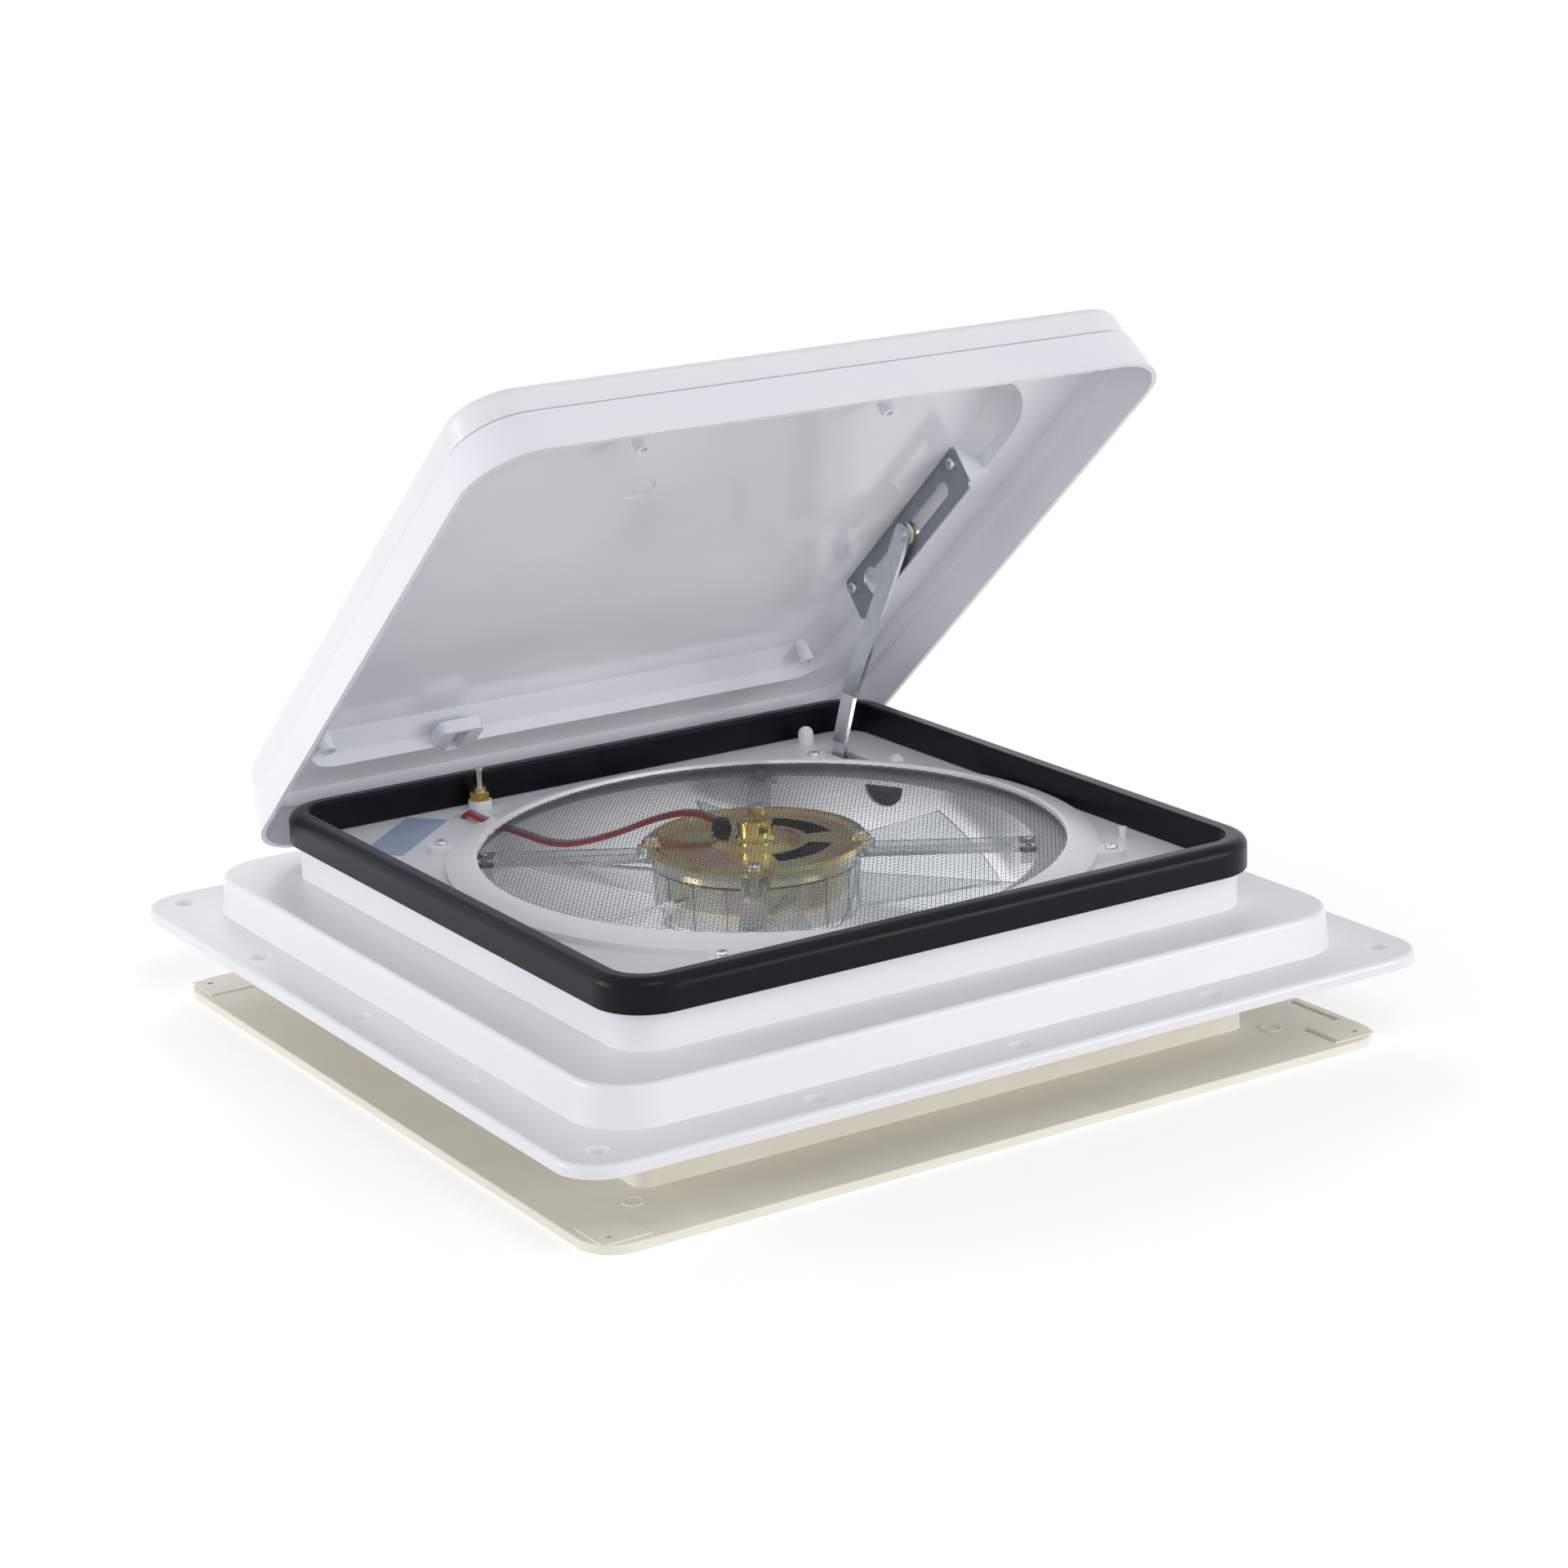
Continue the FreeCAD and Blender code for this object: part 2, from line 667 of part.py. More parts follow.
def hinge_axles(radius, room):
    """A cylinder along each hinge, longer than its knuckles by some room at both ends."""
    reach = HINGE_SPAN + room
    return [axle(radius, side * HINGE_X - reach, side * HINGE_X + reach, HINGE_Y, HINGE_Z)
            for side in (1, -1)]


def deck_pegs():
    """Moulded pegs on the deck: a ball-topped stop, a locating peg and a low dome."""
    ball_y = RISER_HALF - BALL_INSET
    stop = post(BALL_RADIUS, BALL_X, ball_y, DECK_UNDER, DECK_TOP + BALL_RISE)
    stop = stop.fuse(Part.makeSphere(BALL_RADIUS, Vector(BALL_X, ball_y, DECK_TOP + BALL_RISE)))
    peg = post(PEG_RADIUS, RISER_HALF - PEG_INSET, PEG_Y, DECK_UNDER, DECK_TOP + PEG_RISE)
    dome_x = RISER_HALF - DOME_INSET
    dome = Part.makeSphere(DOME_RADIUS, Vector(dome_x, DOME_Y, DECK_TOP - DOME_SINK))
    dome = dome.common(post(DOME_RADIUS, dome_x, DOME_Y, DECK_UNDER, DECK_TOP + DOME_RADIUS))
    return [stop, peg, dome]


def screw_posts():
    """Posts under the deck for the ring's tabs, and long ones for the bottom cover."""
    low = DECK_UNDER - SCREW_POST_DEPTH
    posts = at_tabs(post(TAB_SCREW + SCREW_POST_WALL, TAB_REACH, 0, low, DECK_UNDER))
    for sx, sy in CORNERS:
        posts.append(post(POST_RADIUS, sx * POST_PLACE, sy * POST_PLACE, COVER_TOP, DECK_UNDER))
    return posts


def spider_ledges():
    """Ledges on the duct wall that carry the feet of the motor spider."""
    half = SPIDER_ARM / 2 + LEDGE_MARGIN
    low = SPIDER_BOTTOM - LEDGE_DEPTH
    ledge = block((DUCT_RADIUS - LEDGE_LENGTH, -half, low),
                  (DUCT_RADIUS + DUCT_WALL, half, SPIDER_BOTTOM))
    ledge = ledge.common(post(DUCT_RADIUS + DUCT_WALL / 2, 0, 0, low, SPIDER_BOTTOM))
    return at_arms(ledge.cut(post(FOOT_SCREW + TOUCH, LEDGE_REACH, 0, low, SPIDER_BOTTOM)))


def duct_window():
    """Round cable window in the duct wall, cut off by the deck."""
    middle = DECK_TOP - WINDOW_DROP
    window = axle(WINDOW_RADIUS, DUCT_RADIUS - WINDOW_DROP, DUCT_RADIUS + WINDOW_DROP, 0, middle)
    under = block((0, -WINDOW_RADIUS, 0), (RISER_HALF, WINDOW_RADIUS, DECK_UNDER))
    return about_axis(window.common(under), 1, WINDOW_ANGLE)[0]


def base_cutters():
    """Slots and bores that other pieces pass through."""
    half_arm = ARM_SHEET / 2 + ARM_SLOT_SIDE
    cutters = [
        block((ARM_LOW_X - half_arm, PIVOT_Y - ARM_SLOT_FRONT, DECK_UNDER),
              (ARM_LOW_X + half_arm + ARM_SLOT_SIDE, PIVOT_Y + ARM_SLOT_BACK, DECK_TOP)),
        post(SWITCH_BODY + TOUCH, SWITCH_X, SWITCH_Y, DECK_UNDER, NUT_BOTTOM),
        post(WIRE_HOLE, WIRE_HOLE_X, WIRE_HOLE_Y, DECK_UNDER, DECK_TOP),
        duct_window(),
    ]
    cutters += hinge_axles(HINGE_PIN + TOUCH, 0)
    cutters += at_tabs(post(TAB_SCREW + TOUCH, TAB_REACH, 0, DECK_UNDER - SCREW_POST_DEPTH, DECK_TOP))
    for sx, sy in CORNERS:
        cutters.append(post(COVER_SCREW + TOUCH, sx * POST_PLACE, sy * POST_PLACE,
                            BASE_BOTTOM, COVER_TOP + COVER_SCREW_LENGTH))
    return cutters + flange_holes()


def roof_base():
    duct = post(DUCT_RADIUS + DUCT_WALL, 0, 0, BASE_BOTTOM, DECK_TOP)
    boss = post(SWITCH_BOSS, SWITCH_X, SWITCH_Y, DECK_UNDER, NUT_BOTTOM)
    lugs = [base_lug(start) for start in lug_starts()]
    base = joined([base_shell(), duct, boss] + lugs + deck_pegs() + screw_posts())
    base = base.cut(post(DUCT_RADIUS, 0, 0, BASE_BOTTOM, DECK_TOP))
    return joined([base] + spider_ledges()).cut(base_cutters())


# Gasket and hinge pins

def lid_gasket():
    """Rubber bulb profile that sits over the lip with a leg on each side."""
    outer = RISER_HALF + GASKET_OUTER_LEG
    low = LIP_TOP - GASKET_SKIRT
    bulb = square_slab(outer, RISER_CORNER + GASKET_OUTER_LEG, low, GASKET_TOP)
    bulb = bulb.makeFillet(GASKET_ROUND, level_edges(bulb, GASKET_TOP))
    bulb = bulb.makeFillet(GASKET_FOOT_ROUND, level_edges(bulb, low))
    lip_inner = RISER_HALF - WALL
    lip_corner = RISER_CORNER - WALL
    inside = square_slab(GASKET_INNER, lip_corner - GASKET_INNER_LEG, low, GASKET_TOP)
    lip = square_slab(RISER_HALF, RISER_CORNER, low, LIP_TOP)
    lip = lip.cut(square_slab(lip_inner, lip_corner, low, LIP_TOP))
    gasket = bulb.cut([inside, lip])
    inner_crest = []
    for edge in level_edges(gasket, GASKET_TOP):
        middle = edge.CenterOfMass
        if max(abs(middle.x), abs(middle.y)) < GASKET_INNER + TOUCH:
            inner_crest.append(edge)
    gasket = gasket.makeFillet(GASKET_INNER_ROUND, inner_crest)
    joint = block((GASKET_JOINT_X, 0, low), (GASKET_JOINT_X + GASKET_JOINT, outer, GASKET_TOP))
    return gasket.cut(joint)


def hinge_pins():
    pins = []
    for pin, side in zip(hinge_axles(HINGE_PIN, 0), (1, -1)):
        end = side * HINGE_X + HINGE_SPAN
        head = axle(HINGE_PIN + PIN_HEAD_SPREAD, end, end + PIN_HEAD_LENGTH, HINGE_Y, HINGE_Z)
        pins.append(joined([pin, head]))
    return Part.makeCompound(pins)


# Lid

def lid_y(reach):
    """The closed lid's Y at a distance from its back rim."""
    return LID_HALF - reach


def lid_outline(inset, z):
    return outline(LID_HALF - inset, max(LID_CORNER - inset, LID_CROWN_CORNER), z)


def recess_outline(grow, z):
    half = LID_HALF - RECESS_INSET + grow
    return outline(half, RECESS_BACK_CORNER + grow, z, RECESS_FRONT_CORNER + grow)


def liner_outside():
    """The outer form of the liner as a solid: skirt, raised land, recess and sloped crown."""
    crease_top = CREASE_Z + LID_WALL
    panel_top = PANEL_Z + LID_WALL
    return joined([
        taper(lid_outline(0, LID_RIM_Z), lid_outline(SKIRT_DRAFT, SKIRT_TOP)),
        taper(lid_outline(SHOULDER_INSET, SKIRT_TOP), lid_outline(SHOULDER_INSET, LAND_Z + LAND_SHEET)),
        taper(recess_outline(LID_WALL, SKIRT_TOP), recess_outline(LID_WALL, crease_top)),
        taper(recess_outline(LID_WALL, crease_top), recess_outline(LID_WALL - CROWN_RUN, panel_top)),
    ])


def liner_inside():
    """The space under the liner's sheet."""
    skirt_inset = LID_WALL + SKIRT_DRAFT * SKIRT_DEPTH / (SKIRT_TOP - LID_RIM_Z)
    land_inset = SHOULDER_INSET + SHOULDER_SHEET
    return joined([
        taper(lid_outline(LID_WALL, LID_RIM_Z), lid_outline(skirt_inset, SHOULDER_Z)),
        taper(lid_outline(land_inset, SHOULDER_Z), lid_outline(land_inset, LAND_Z)),
        taper(recess_outline(0, LAND_Z), recess_outline(0, CREASE_Z)),
        taper(recess_outline(0, CREASE_Z), recess_outline(-CROWN_RUN, PANEL_Z)),
    ])


def bracket_blocks():
    """Moulded blocks that the slotted bracket is screwed to, one at each end."""
    wall_x = LID_HALF - RECESS_INSET + LID_WALL / 2
    blocks = []
    for start in (BRACKET_START, BRACKET_START + BRACKET_LENGTH - BLOCK_LENGTH):
        blocks.append(block((BRACKET_BACK_X, lid_y(start + BLOCK_LENGTH), PANEL_Z - BLOCK_DEPTH),
                            (wall_x, lid_y(start), PANEL_Z + LID_WALL / 2)))
    return blocks


def switch_pocket():
    """A block on the liner that comes down over the switch pin, and the slot in it for the pin."""
    half = POCKET_WIDTH / 2
    front = SWITCH_Y - POCKET_FRONT
    back = SWITCH_Y + POCKET_BACK
    roof = PLUNGER_TOP + POCKET_ROOM
    box = block((SWITCH_X - half, front, LAND_Z), (SWITCH_X + half, back, roof + POCKET_WALL))
    upright = [edge for edge in box.Edges if edge.BoundBox.ZLength > POCKET_WALL]
    box = box.makeFillet(POCKET_ROUND, upright)
    slot = POCKET_SLOT / 2
    space = block((SWITCH_X - slot, front + POCKET_WALL, LAND_Z),
                  (SWITCH_X + slot, back - POCKET_WALL, roof))
    return box, space


def boss_places():
    corner = LID_HALF - RECESS_INSET - CORNER_BOSS_INSET
    front = LID_HALF - RECESS_INSET - FRONT_BOSS_INSET
    return [(corner, corner), (-corner, corner), (FRONT_BOSS_X, -front), (-FRONT_BOSS_X, -front)]


def lid_liner():
    """The lid's lower moulding with its hinge knuckles, bosses, blocks and switch pocket."""
    outside = liner_outside()
    box, space = switch_pocket()
    boss_low = PANEL_Z - BOSS_HEIGHT
    boss_top = PANEL_Z + LID_WALL / 2
    bosses = [post(BOSS_RADIUS, x, y, boss_low, boss_top) for x, y in boss_places()]
    inner_forms = [form.common(outside) for form in bosses + bracket_blocks()]
    notches = hinge_axles(HINGE_BARREL + NOTCH_GAP, PIN_HEAD_LENGTH + LUG_GAP)
    knuckles = []
    for side in (1, -1):
        start = side * HINGE_X - LID_LUG / 2
        knuckles.append(axle(HINGE_BARREL, start, start + LID_LUG, HINGE_Y, HINGE_Z))
        knuckles.append(block((start, LID_HALF - SKIRT_DRAFT - LID_WALL, LID_RIM_Z),
                              (start + LID_LUG, LID_HALF - LID_WALL / 2, LID_RIM_Z + 2 * HINGE_BARREL)))
    shell = outside.cut(liner_inside()).cut(notches)
    liner = joined([shell, box] + inner_forms + knuckles)
    cuts = [space] + hinge_axles(HINGE_PIN + PIN_FIT, 0)
    cuts.append(post(GATE_MARK_RADIUS, GATE_MARK_X, lid_y(GATE_MARK_REACH),
                     PANEL_Z, PANEL_Z + GATE_MARK_DEPTH))
    cuts += [post(BOSS_HOLE, x, y, boss_low, PANEL_Z) for x, y in boss_places()]
    for y, z in bracket_screw_places():
        cuts.append(axle(BRACKET_SCREW + TOUCH, BRACKET_BACK_X, BRACKET_X + BRACKET_SCREW_LENGTH, y, z))
    return liner.cut(cuts)


def cover_form(inset, foot, drop):
    """The cover's domed form as a solid with its upper sheet lowered by drop, and its edge."""
    edge = SKIRT_TOP + COVER_GROOVE + COVER_SIDE - drop
    crown = edge + DOME_RISE
    edge_inset = inset + COVER_INSET
    dome_inset = edge_inset + DOME_RUN
    solid = joined([
        taper(lid_outline(inset, foot), lid_outline(edge_inset, edge)),
        taper(lid_outline(edge_inset, edge), lid_outline(dome_inset, crown)),
        taper(lid_outline(dome_inset, crown), lid_outline(dome_inset + CAP_RUN, crown + CAP_RISE)),
    ])
    return solid, level_edges(solid, edge)


def lid_cover():
    """The lid's domed outer cover with a tongue that rests on the liner."""
    foot = SKIRT_TOP + COVER_GROOVE
    outer = SKIRT_DRAFT + COVER_INSET
    inner = outer + LID_WALL
    middle = outer + LID_WALL / 2
    solid, edge = cover_form(outer, foot, 0.0)
    hollow, _ = cover_form(inner, foot, LID_WALL)
    shell = solid.makeFillet(COVER_EDGE_ROUND, edge).cut(hollow)
    tongue = taper(lid_outline(middle, SKIRT_TOP), lid_outline(middle, foot))
    tongue = tongue.cut(taper(lid_outline(inner, SKIRT_TOP), lid_outline(inner, foot)))
    return joined([shell, tongue])


# Screen ring and mesh

def wire_notch():
    """Room for the two wires under the ring's outer edge."""
    x, y, _ = WIRE_ROUTE[2]
    middle = x + WIRE_STEP_X / 2
    return block((middle - NOTCH_WIDTH / 2, y - NOTCH_REACH, DECK_TOP),
                 (middle + NOTCH_WIDTH / 2, y + NOTCH_LENGTH, DECK_TOP + RING_EDGE + RING_LIP))


def screen_ring():
    """Sloped ring with a rolled inner lip, four screw tabs and a notch for the wires."""
    edge = DECK_TOP + RING_EDGE
    lip = RING_INNER + RING_SHEET
    skirt = RING_OUTER - RING_SHEET
    low_lip = RING_TOP - RING_SHEET - RING_LIP
    ring = turned([
        (RING_OUTER, DECK_TOP), (RING_OUTER, edge), (lip, RING_TOP), (RING_INNER, RING_TOP),
        (RING_INNER, low_lip), (lip, low_lip), (lip, RING_TOP - RING_SHEET),
        (skirt, edge - RING_SHEET / 2), (skirt, DECK_TOP)])
    tab_top = DECK_TOP + TAB_THICK
    tab = post(TAB_RADIUS, TAB_REACH, 0, DECK_TOP, tab_top)
    web = block((skirt - RING_SHEET, -TAB_RADIUS, DECK_TOP), (TAB_REACH, TAB_RADIUS, tab_top))
    tab = tab.fuse(web).cut(post(skirt, 0, 0, DECK_TOP, tab_top))
    holes = at_tabs(post(TAB_SCREW + SCREW_CLEARANCE, TAB_REACH, 0, DECK_TOP, tab_top))
    ring = moved(ring, (RING_X, RING_Y, 0))
    return joined([ring] + at_tabs(tab)).cut(holes + [wire_notch()])


def ring_screws():
    screw = moved(pan_screw(TAB_SCREW, TAB_SCREW_LENGTH), (TAB_REACH, 0, DECK_TOP + TAB_THICK))
    return Part.makeCompound(at_tabs(screw))


def mesh_dome():
    """A thin spherical cap over the mesh's edge circle."""
    ball = (MESH_EDGE ** 2 + MESH_RISE ** 2) / (2 * MESH_RISE)
    centre = Vector(0, 0, MESH_EDGE_Z + MESH_RISE - ball)
    shell = Part.makeSphere(ball, centre).cut(Part.makeSphere(ball - MESH_SHEET, centre))
    return shell.common(post(MESH_EDGE, 0, 0, MESH_EDGE_Z - MESH_RISE, MESH_EDGE_Z + 2 * MESH_RISE))


def screen_mesh():
    """The domed insect screen as one holed sheet, its gaps wider than the real weave."""
    low = MESH_EDGE_Z - MESH_RISE
    half = MESH_GAP / 2
    reach = int(MESH_EDGE // MESH_PITCH)
    steps = [k * MESH_PITCH for k in range(-reach, reach + 1)]
    gaps = []
    for x in steps:
        for y in steps:
            if math.hypot(abs(x) + half, abs(y) + half) < MESH_EDGE - MESH_BORDER:
                corners = [Vector(x + sx * half, y + sy * half, low) for sx, sy in CORNERS]
                gaps.append(Part.makePolygon(corners + corners[:1]))
    rim = Part.Wire([Part.makeCircle(MESH_EDGE, Vector(0, 0, low))])
    face = Part.makeFace([rim] + gaps, "Part::FaceMakerBullseye")
    print("mesh gaps", len(gaps))
    sheet = face.extrude(Vector(0, 0, 3 * MESH_RISE)).common(mesh_dome())
    return moved(sheet, (RING_X, RING_Y, 0))


# Motor

def end_plate_vents():
    """Curved ventilation slots through the end plate."""
    ring = tube(VENT_OUTER, VENT_INNER, CAN_TOP, MOTOR_TOP + RIM_RISE)
    span = math.radians(VENT_SPAN)
    far = Vector(PLATE_RADIUS * math.cos(span), PLATE_RADIUS * math.sin(span), CAN_TOP)
    centre = Vector(0, 0, CAN_TOP)
    wedge = Part.Face(Part.makePolygon([centre, Vector(PLATE_RADIUS, 0, CAN_TOP), far, centre]))
    vent = ring.common(wedge.extrude(Vector(0, 0, PLATE_SHEET + RIM_RISE)))
    return [about_axis(vent, 1, turn)[0] for turn in VENT_TURNS]


def motor_end_plate():
    """Pressed end plate with a rolled rim, a raised bearing boss, vents and four ears."""
    roll = PLATE_RADIUS - RIM_ROLL
    dish = MOTOR_TOP - DISH_DEPTH
    boss = MOTOR_TOP + PLATE_BOSS_RISE
    plate = turned([
        (BEARING_RADIUS, CAN_TOP), (PLATE_RADIUS, CAN_TOP), (PLATE_RADIUS, MOTOR_TOP + RIM_RISE),
        (roll, MOTOR_TOP + RIM_RISE), (roll - DISH_SLOPE, dish), (PLATE_BOSS + PLATE_BOSS_SLOPE, dish),
        (PLATE_BOSS, boss), (BEARING_BOSS + PLATE_BOSS_RISE, boss),
        (BEARING_BOSS, boss + PLATE_BOSS_RISE), (BEARING_BOSS, BEARING_TOP), (BEARING_RADIUS, BEARING_TOP)])
    ear = post(EAR_RADIUS, EAR_REACH, 0, CAN_TOP, MOTOR_TOP + RIM_RISE)
    holes = at_arms(post(EAR_SCREW + TOUCH, EAR_REACH, 0, CAN_TOP, MOTOR_TOP + RIM_RISE))
    holes.append(post(GROMMET_RADIUS - GROMMET_LIP, GROMMET_X, GROMMET_Y, CAN_TOP, BEARING_TOP))
    return joined([plate] + at_arms(ear)).cut(end_plate_vents() + holes)


def motor_can():
    inner = CAN_RADIUS - CAN_SHEET
    floor = CAN_BOTTOM + CAN_SHEET
    lip = CAN_BOSS_BOTTOM + BEARING_LIP
    hole = SHAFT_RADIUS + BEARING_LIP
    return turned([
        (CAN_RADIUS, CAN_TOP), (CAN_RADIUS, CAN_BOTTOM + CAN_ROUND), (CAN_RADIUS - CAN_ROUND, CAN_BOTTOM),
        (BEARING_BOSS, CAN_BOTTOM), (BEARING_BOSS, CAN_BOSS_BOTTOM), (hole, CAN_BOSS_BOTTOM), (hole, lip),
        (BEARING_RADIUS, lip), (BEARING_RADIUS, floor), (inner - CAN_ROUND, floor),
        (inner, floor + CAN_ROUND), (inner, CAN_TOP)])


def bearing_cap():
    top = BEARING_TOP + CAP_HEIGHT
    cap = post(BEARING_BOSS, 0, 0, BEARING_TOP, top)
    cap = cap.makeFillet(CAP_RIDGE, level_edges(cap, top))
    rings = [tube(r + CAP_RIDGE, r - CAP_RIDGE, top - CAP_RIDGE, top + CAP_RIDGE) for r in CAP_RIDGES]
    return joined([cap] + rings)


def bearing_bushes():
    bushes = []
    for low in (BEARING_TOP - BEARING_LENGTH, CAN_BOSS_BOTTOM + BEARING_LIP):
        bushes.append(tube(BEARING_RADIUS - TOUCH, SHAFT_RADIUS + SHAFT_FIT, low, low + BEARING_LENGTH))
    return Part.makeCompound(bushes)


def motor_magnets():
    outer = CAN_RADIUS - CAN_SHEET - TOUCH
    ring = tube(outer, outer - MAGNET_THICK, CORE_BOTTOM, CORE_TOP)
    half = MAGNET_GAP / 2
    return ring.cut(block((-outer, -half, CORE_BOTTOM), (outer, half, CORE_TOP)))


def motor_shaft():
    return post(SHAFT_RADIUS, 0, 0, FAN_NUT_BOTTOM - SHAFT_TAIL, BEARING_TOP - BEARING_LIP)


def motor_armature():
    """Slotted core and commutator on the shaft."""
    core = tube(CORE_RADIUS, SHAFT_RADIUS, CORE_BOTTOM, CORE_TOP)
    half = CORE_SLOT / 2
    slot = block((CORE_RADIUS - SLOT_DEPTH, -half, CORE_BOTTOM), (CORE_RADIUS, half, CORE_TOP))
    core = core.cut(about_axis(slot, CORE_SLOTS))
    return joined([core, tube(COMMUTATOR_RADIUS, SHAFT_RADIUS, CORE_TOP, COMMUTATOR_TOP)])


def motor_brushes():
    """A pair of brushes held under the end plate, beside the commutator."""
    inner = COMMUTATOR_RADIUS + BRUSH_GAP
    half = BRUSH_WIDTH / 2
    brush = block((inner, -half, CORE_TOP + BRUSH_GAP), (inner + BRUSH_LENGTH, half, CAN_TOP))
    return Part.makeCompound(about_axis(brush, 2))


def motor_ear_screws():
    screw = moved(pan_screw(EAR_SCREW, SPIDER_DEPTH), (EAR_REACH, 0, MOTOR_TOP + RIM_RISE))
    return Part.makeCompound(at_arms(screw))


def motor_wire_grommet():
    """Rubber sleeve in the end plate with a bore for each wire."""
    neck = GROMMET_RADIUS - GROMMET_LIP - TOUCH
    seat = MOTOR_TOP + PLATE_BOSS_RISE
    sleeve = post(neck, GROMMET_X, GROMMET_Y, CAN_TOP, seat)
    cone = Part.makeCone(GROMMET_RADIUS, GROMMET_RADIUS - GROMMET_TAPER, GROMMET_HEIGHT,
                         Vector(GROMMET_X, GROMMET_Y, seat))
    bores = [wire_tube(steps, WIRE_RADIUS + TOUCH)[0] for steps in (0, 1)]
    return joined([sleeve, cone]).cut(bores)


# Motor spider and fan

def motor_spider():
    """Clear carrier: a ring under the motor's ears and four channelled arms to the duct wall."""
    inner = CAN_RADIUS + SPIDER_FIT
    outer = EAR_REACH + FOOT_GAP
    half = SPIDER_ARM / 2
    end = DUCT_RADIUS - FOOT_GAP
    beam = block((outer - SPIDER_STEP, -half, SPIDER_BOTTOM), (end, half, SPIDER_ARM_TOP))
    beam = beam.common(post(end, 0, 0, SPIDER_BOTTOM, SPIDER_ARM_TOP))
    channel = block((outer + SPIDER_STEP, -half + SPIDER_WALL, SPIDER_BOTTOM + SPIDER_WALL),
                    (end - LEDGE_LENGTH - SPIDER_WALL, half - SPIDER_WALL, SPIDER_ARM_TOP))
    pillar = post(EAR_RADIUS + SPIDER_WALL, EAR_REACH, 0, SPIDER_BOTTOM, CAN_TOP)
    pillar = pillar.cut(post(inner, 0, 0, SPIDER_BOTTOM, CAN_TOP))
    holes = at_arms(post(EAR_SCREW + TOUCH, EAR_REACH, 0, SPIDER_BOTTOM, CAN_TOP))
    holes += at_arms(post(FOOT_SCREW + SCREW_CLEARANCE, LEDGE_REACH, 0, SPIDER_BOTTOM, CAN_TOP))
    arms = at_arms(joined([beam.cut(channel), pillar]))
    return joined([tube(outer, inner, SPIDER_BOTTOM, CAN_TOP)] + arms).cut(holes)


def spider_foot_screws():
    screw = moved(pan_screw(FOOT_SCREW, FOOT_SCREW_LENGTH), (LEDGE_REACH, 0, SPIDER_ARM_TOP))
    return Part.makeCompound(at_arms(screw))


def blade_section(radius, chord, pitch):
    """A thin flat blade section standing across the X axis at a radius."""
    tilt = math.radians(pitch)
    along = Vector(0, math.cos(tilt), math.sin(tilt)) * (chord / 2)
    across = Vector(0, -math.sin(tilt), math.cos(tilt)) * (BLADE_SHEET / 2)
    front = Vector(radius, 0, HUB_TOP - BLADE_DROP) - along
    back = front + along * 2
    corners = [front - across, back - across, back + across, front + across]
    return Part.makePolygon(corners + corners[:1])


def fan_blade():
    """Clear fan: a ribbed hub cup round the motor with flat twisted blades."""
    inner = HUB_RADIUS - HUB_WALL
    floor_top = HUB_FLOOR + HUB_WALL
    cup = turned([
        (SHAFT_RADIUS, HUB_BOSS_BOTTOM), (HUB_BOSS, HUB_BOSS_BOTTOM), (HUB_BOSS, HUB_FLOOR),
        (HUB_RADIUS - HUB_ROUND, HUB_FLOOR), (HUB_RADIUS, HUB_FLOOR + HUB_ROUND), (HUB_RADIUS, HUB_TOP),
        (inner, HUB_TOP), (inner, floor_top + HUB_WALL), (inner - HUB_WALL, floor_top),
        (SHAFT_RADIUS, floor_top)])
    rib = block((HUB_RADIUS - HUB_WALL / 2, -RIB_WIDTH / 2, HUB_FLOOR + HUB_ROUND),
                (HUB_RADIUS + RIB_RISE, RIB_WIDTH / 2, HUB_TOP))
    blade = Part.makeLoft([blade_section(inner - HUB_WALL, ROOT_CHORD, ROOT_PITCH),
                           blade_section(DUCT_RADIUS, TIP_CHORD, TIP_PITCH)], True, True)
    blade = blade.common(tube(BLADE_TIP, HUB_RADIUS - HUB_WALL / 2, FAN_NUT_BOTTOM, CAN_TOP))
    return joined([cup] + about_axis(rib, HUB_RIBS) + about_axis(blade, BLADES))


def fan_nut():
    nut = hex_prism(FAN_NUT_FLATS, 0, 0, FAN_NUT_BOTTOM, HUB_BOSS_BOTTOM)
    return nut.cut(post(SHAFT_RADIUS, 0, 0, FAN_NUT_BOTTOM, HUB_BOSS_BOTTOM))


# Wires to the motor

def rounded_path(points):
    """Straight runs joined by tangent arcs as large as the runs allow, and the arcs' radii."""
    start = points[0]
    edges = []
    radii = []
    for before, corner, after in zip(points, points[1:], points[2:]):
        back = before - corner
        ahead = after - corner
        cut = 0.45 * min(back.Length, ahead.Length)
        half_turn = (math.pi - back.getAngle(ahead)) / 2
        radius = cut / math.tan(half_turn)
        enter = corner + back.normalize() * cut
        leave = corner + ahead.normalize() * cut
        middle = corner + (back + ahead).normalize() * (radius / math.cos(half_turn) - radius)
        edges.append(Part.LineSegment(start, enter).toShape())
        edges.append(Part.Arc(enter, middle, leave).toShape())
        radii.append(round(radius, 1))
        start = leave
    edges.append(Part.LineSegment(start, points[-1]).toShape())
    return Part.Wire(edges), radii


def wire_tube(steps, radius):
    """A wire along the route, moved sideways by a number of steps."""
    points = [Vector(x + steps * WIRE_STEP_X, y + steps * WIRE_STEP_Y, z) for x, y, z in WIRE_ROUTE]
    path, radii = rounded_path(points)
    section = Part.Wire([Part.makeCircle(radius, points[0], points[1] - points[0])])
    return path.makePipeShell([section], True, False), path.Length, radii


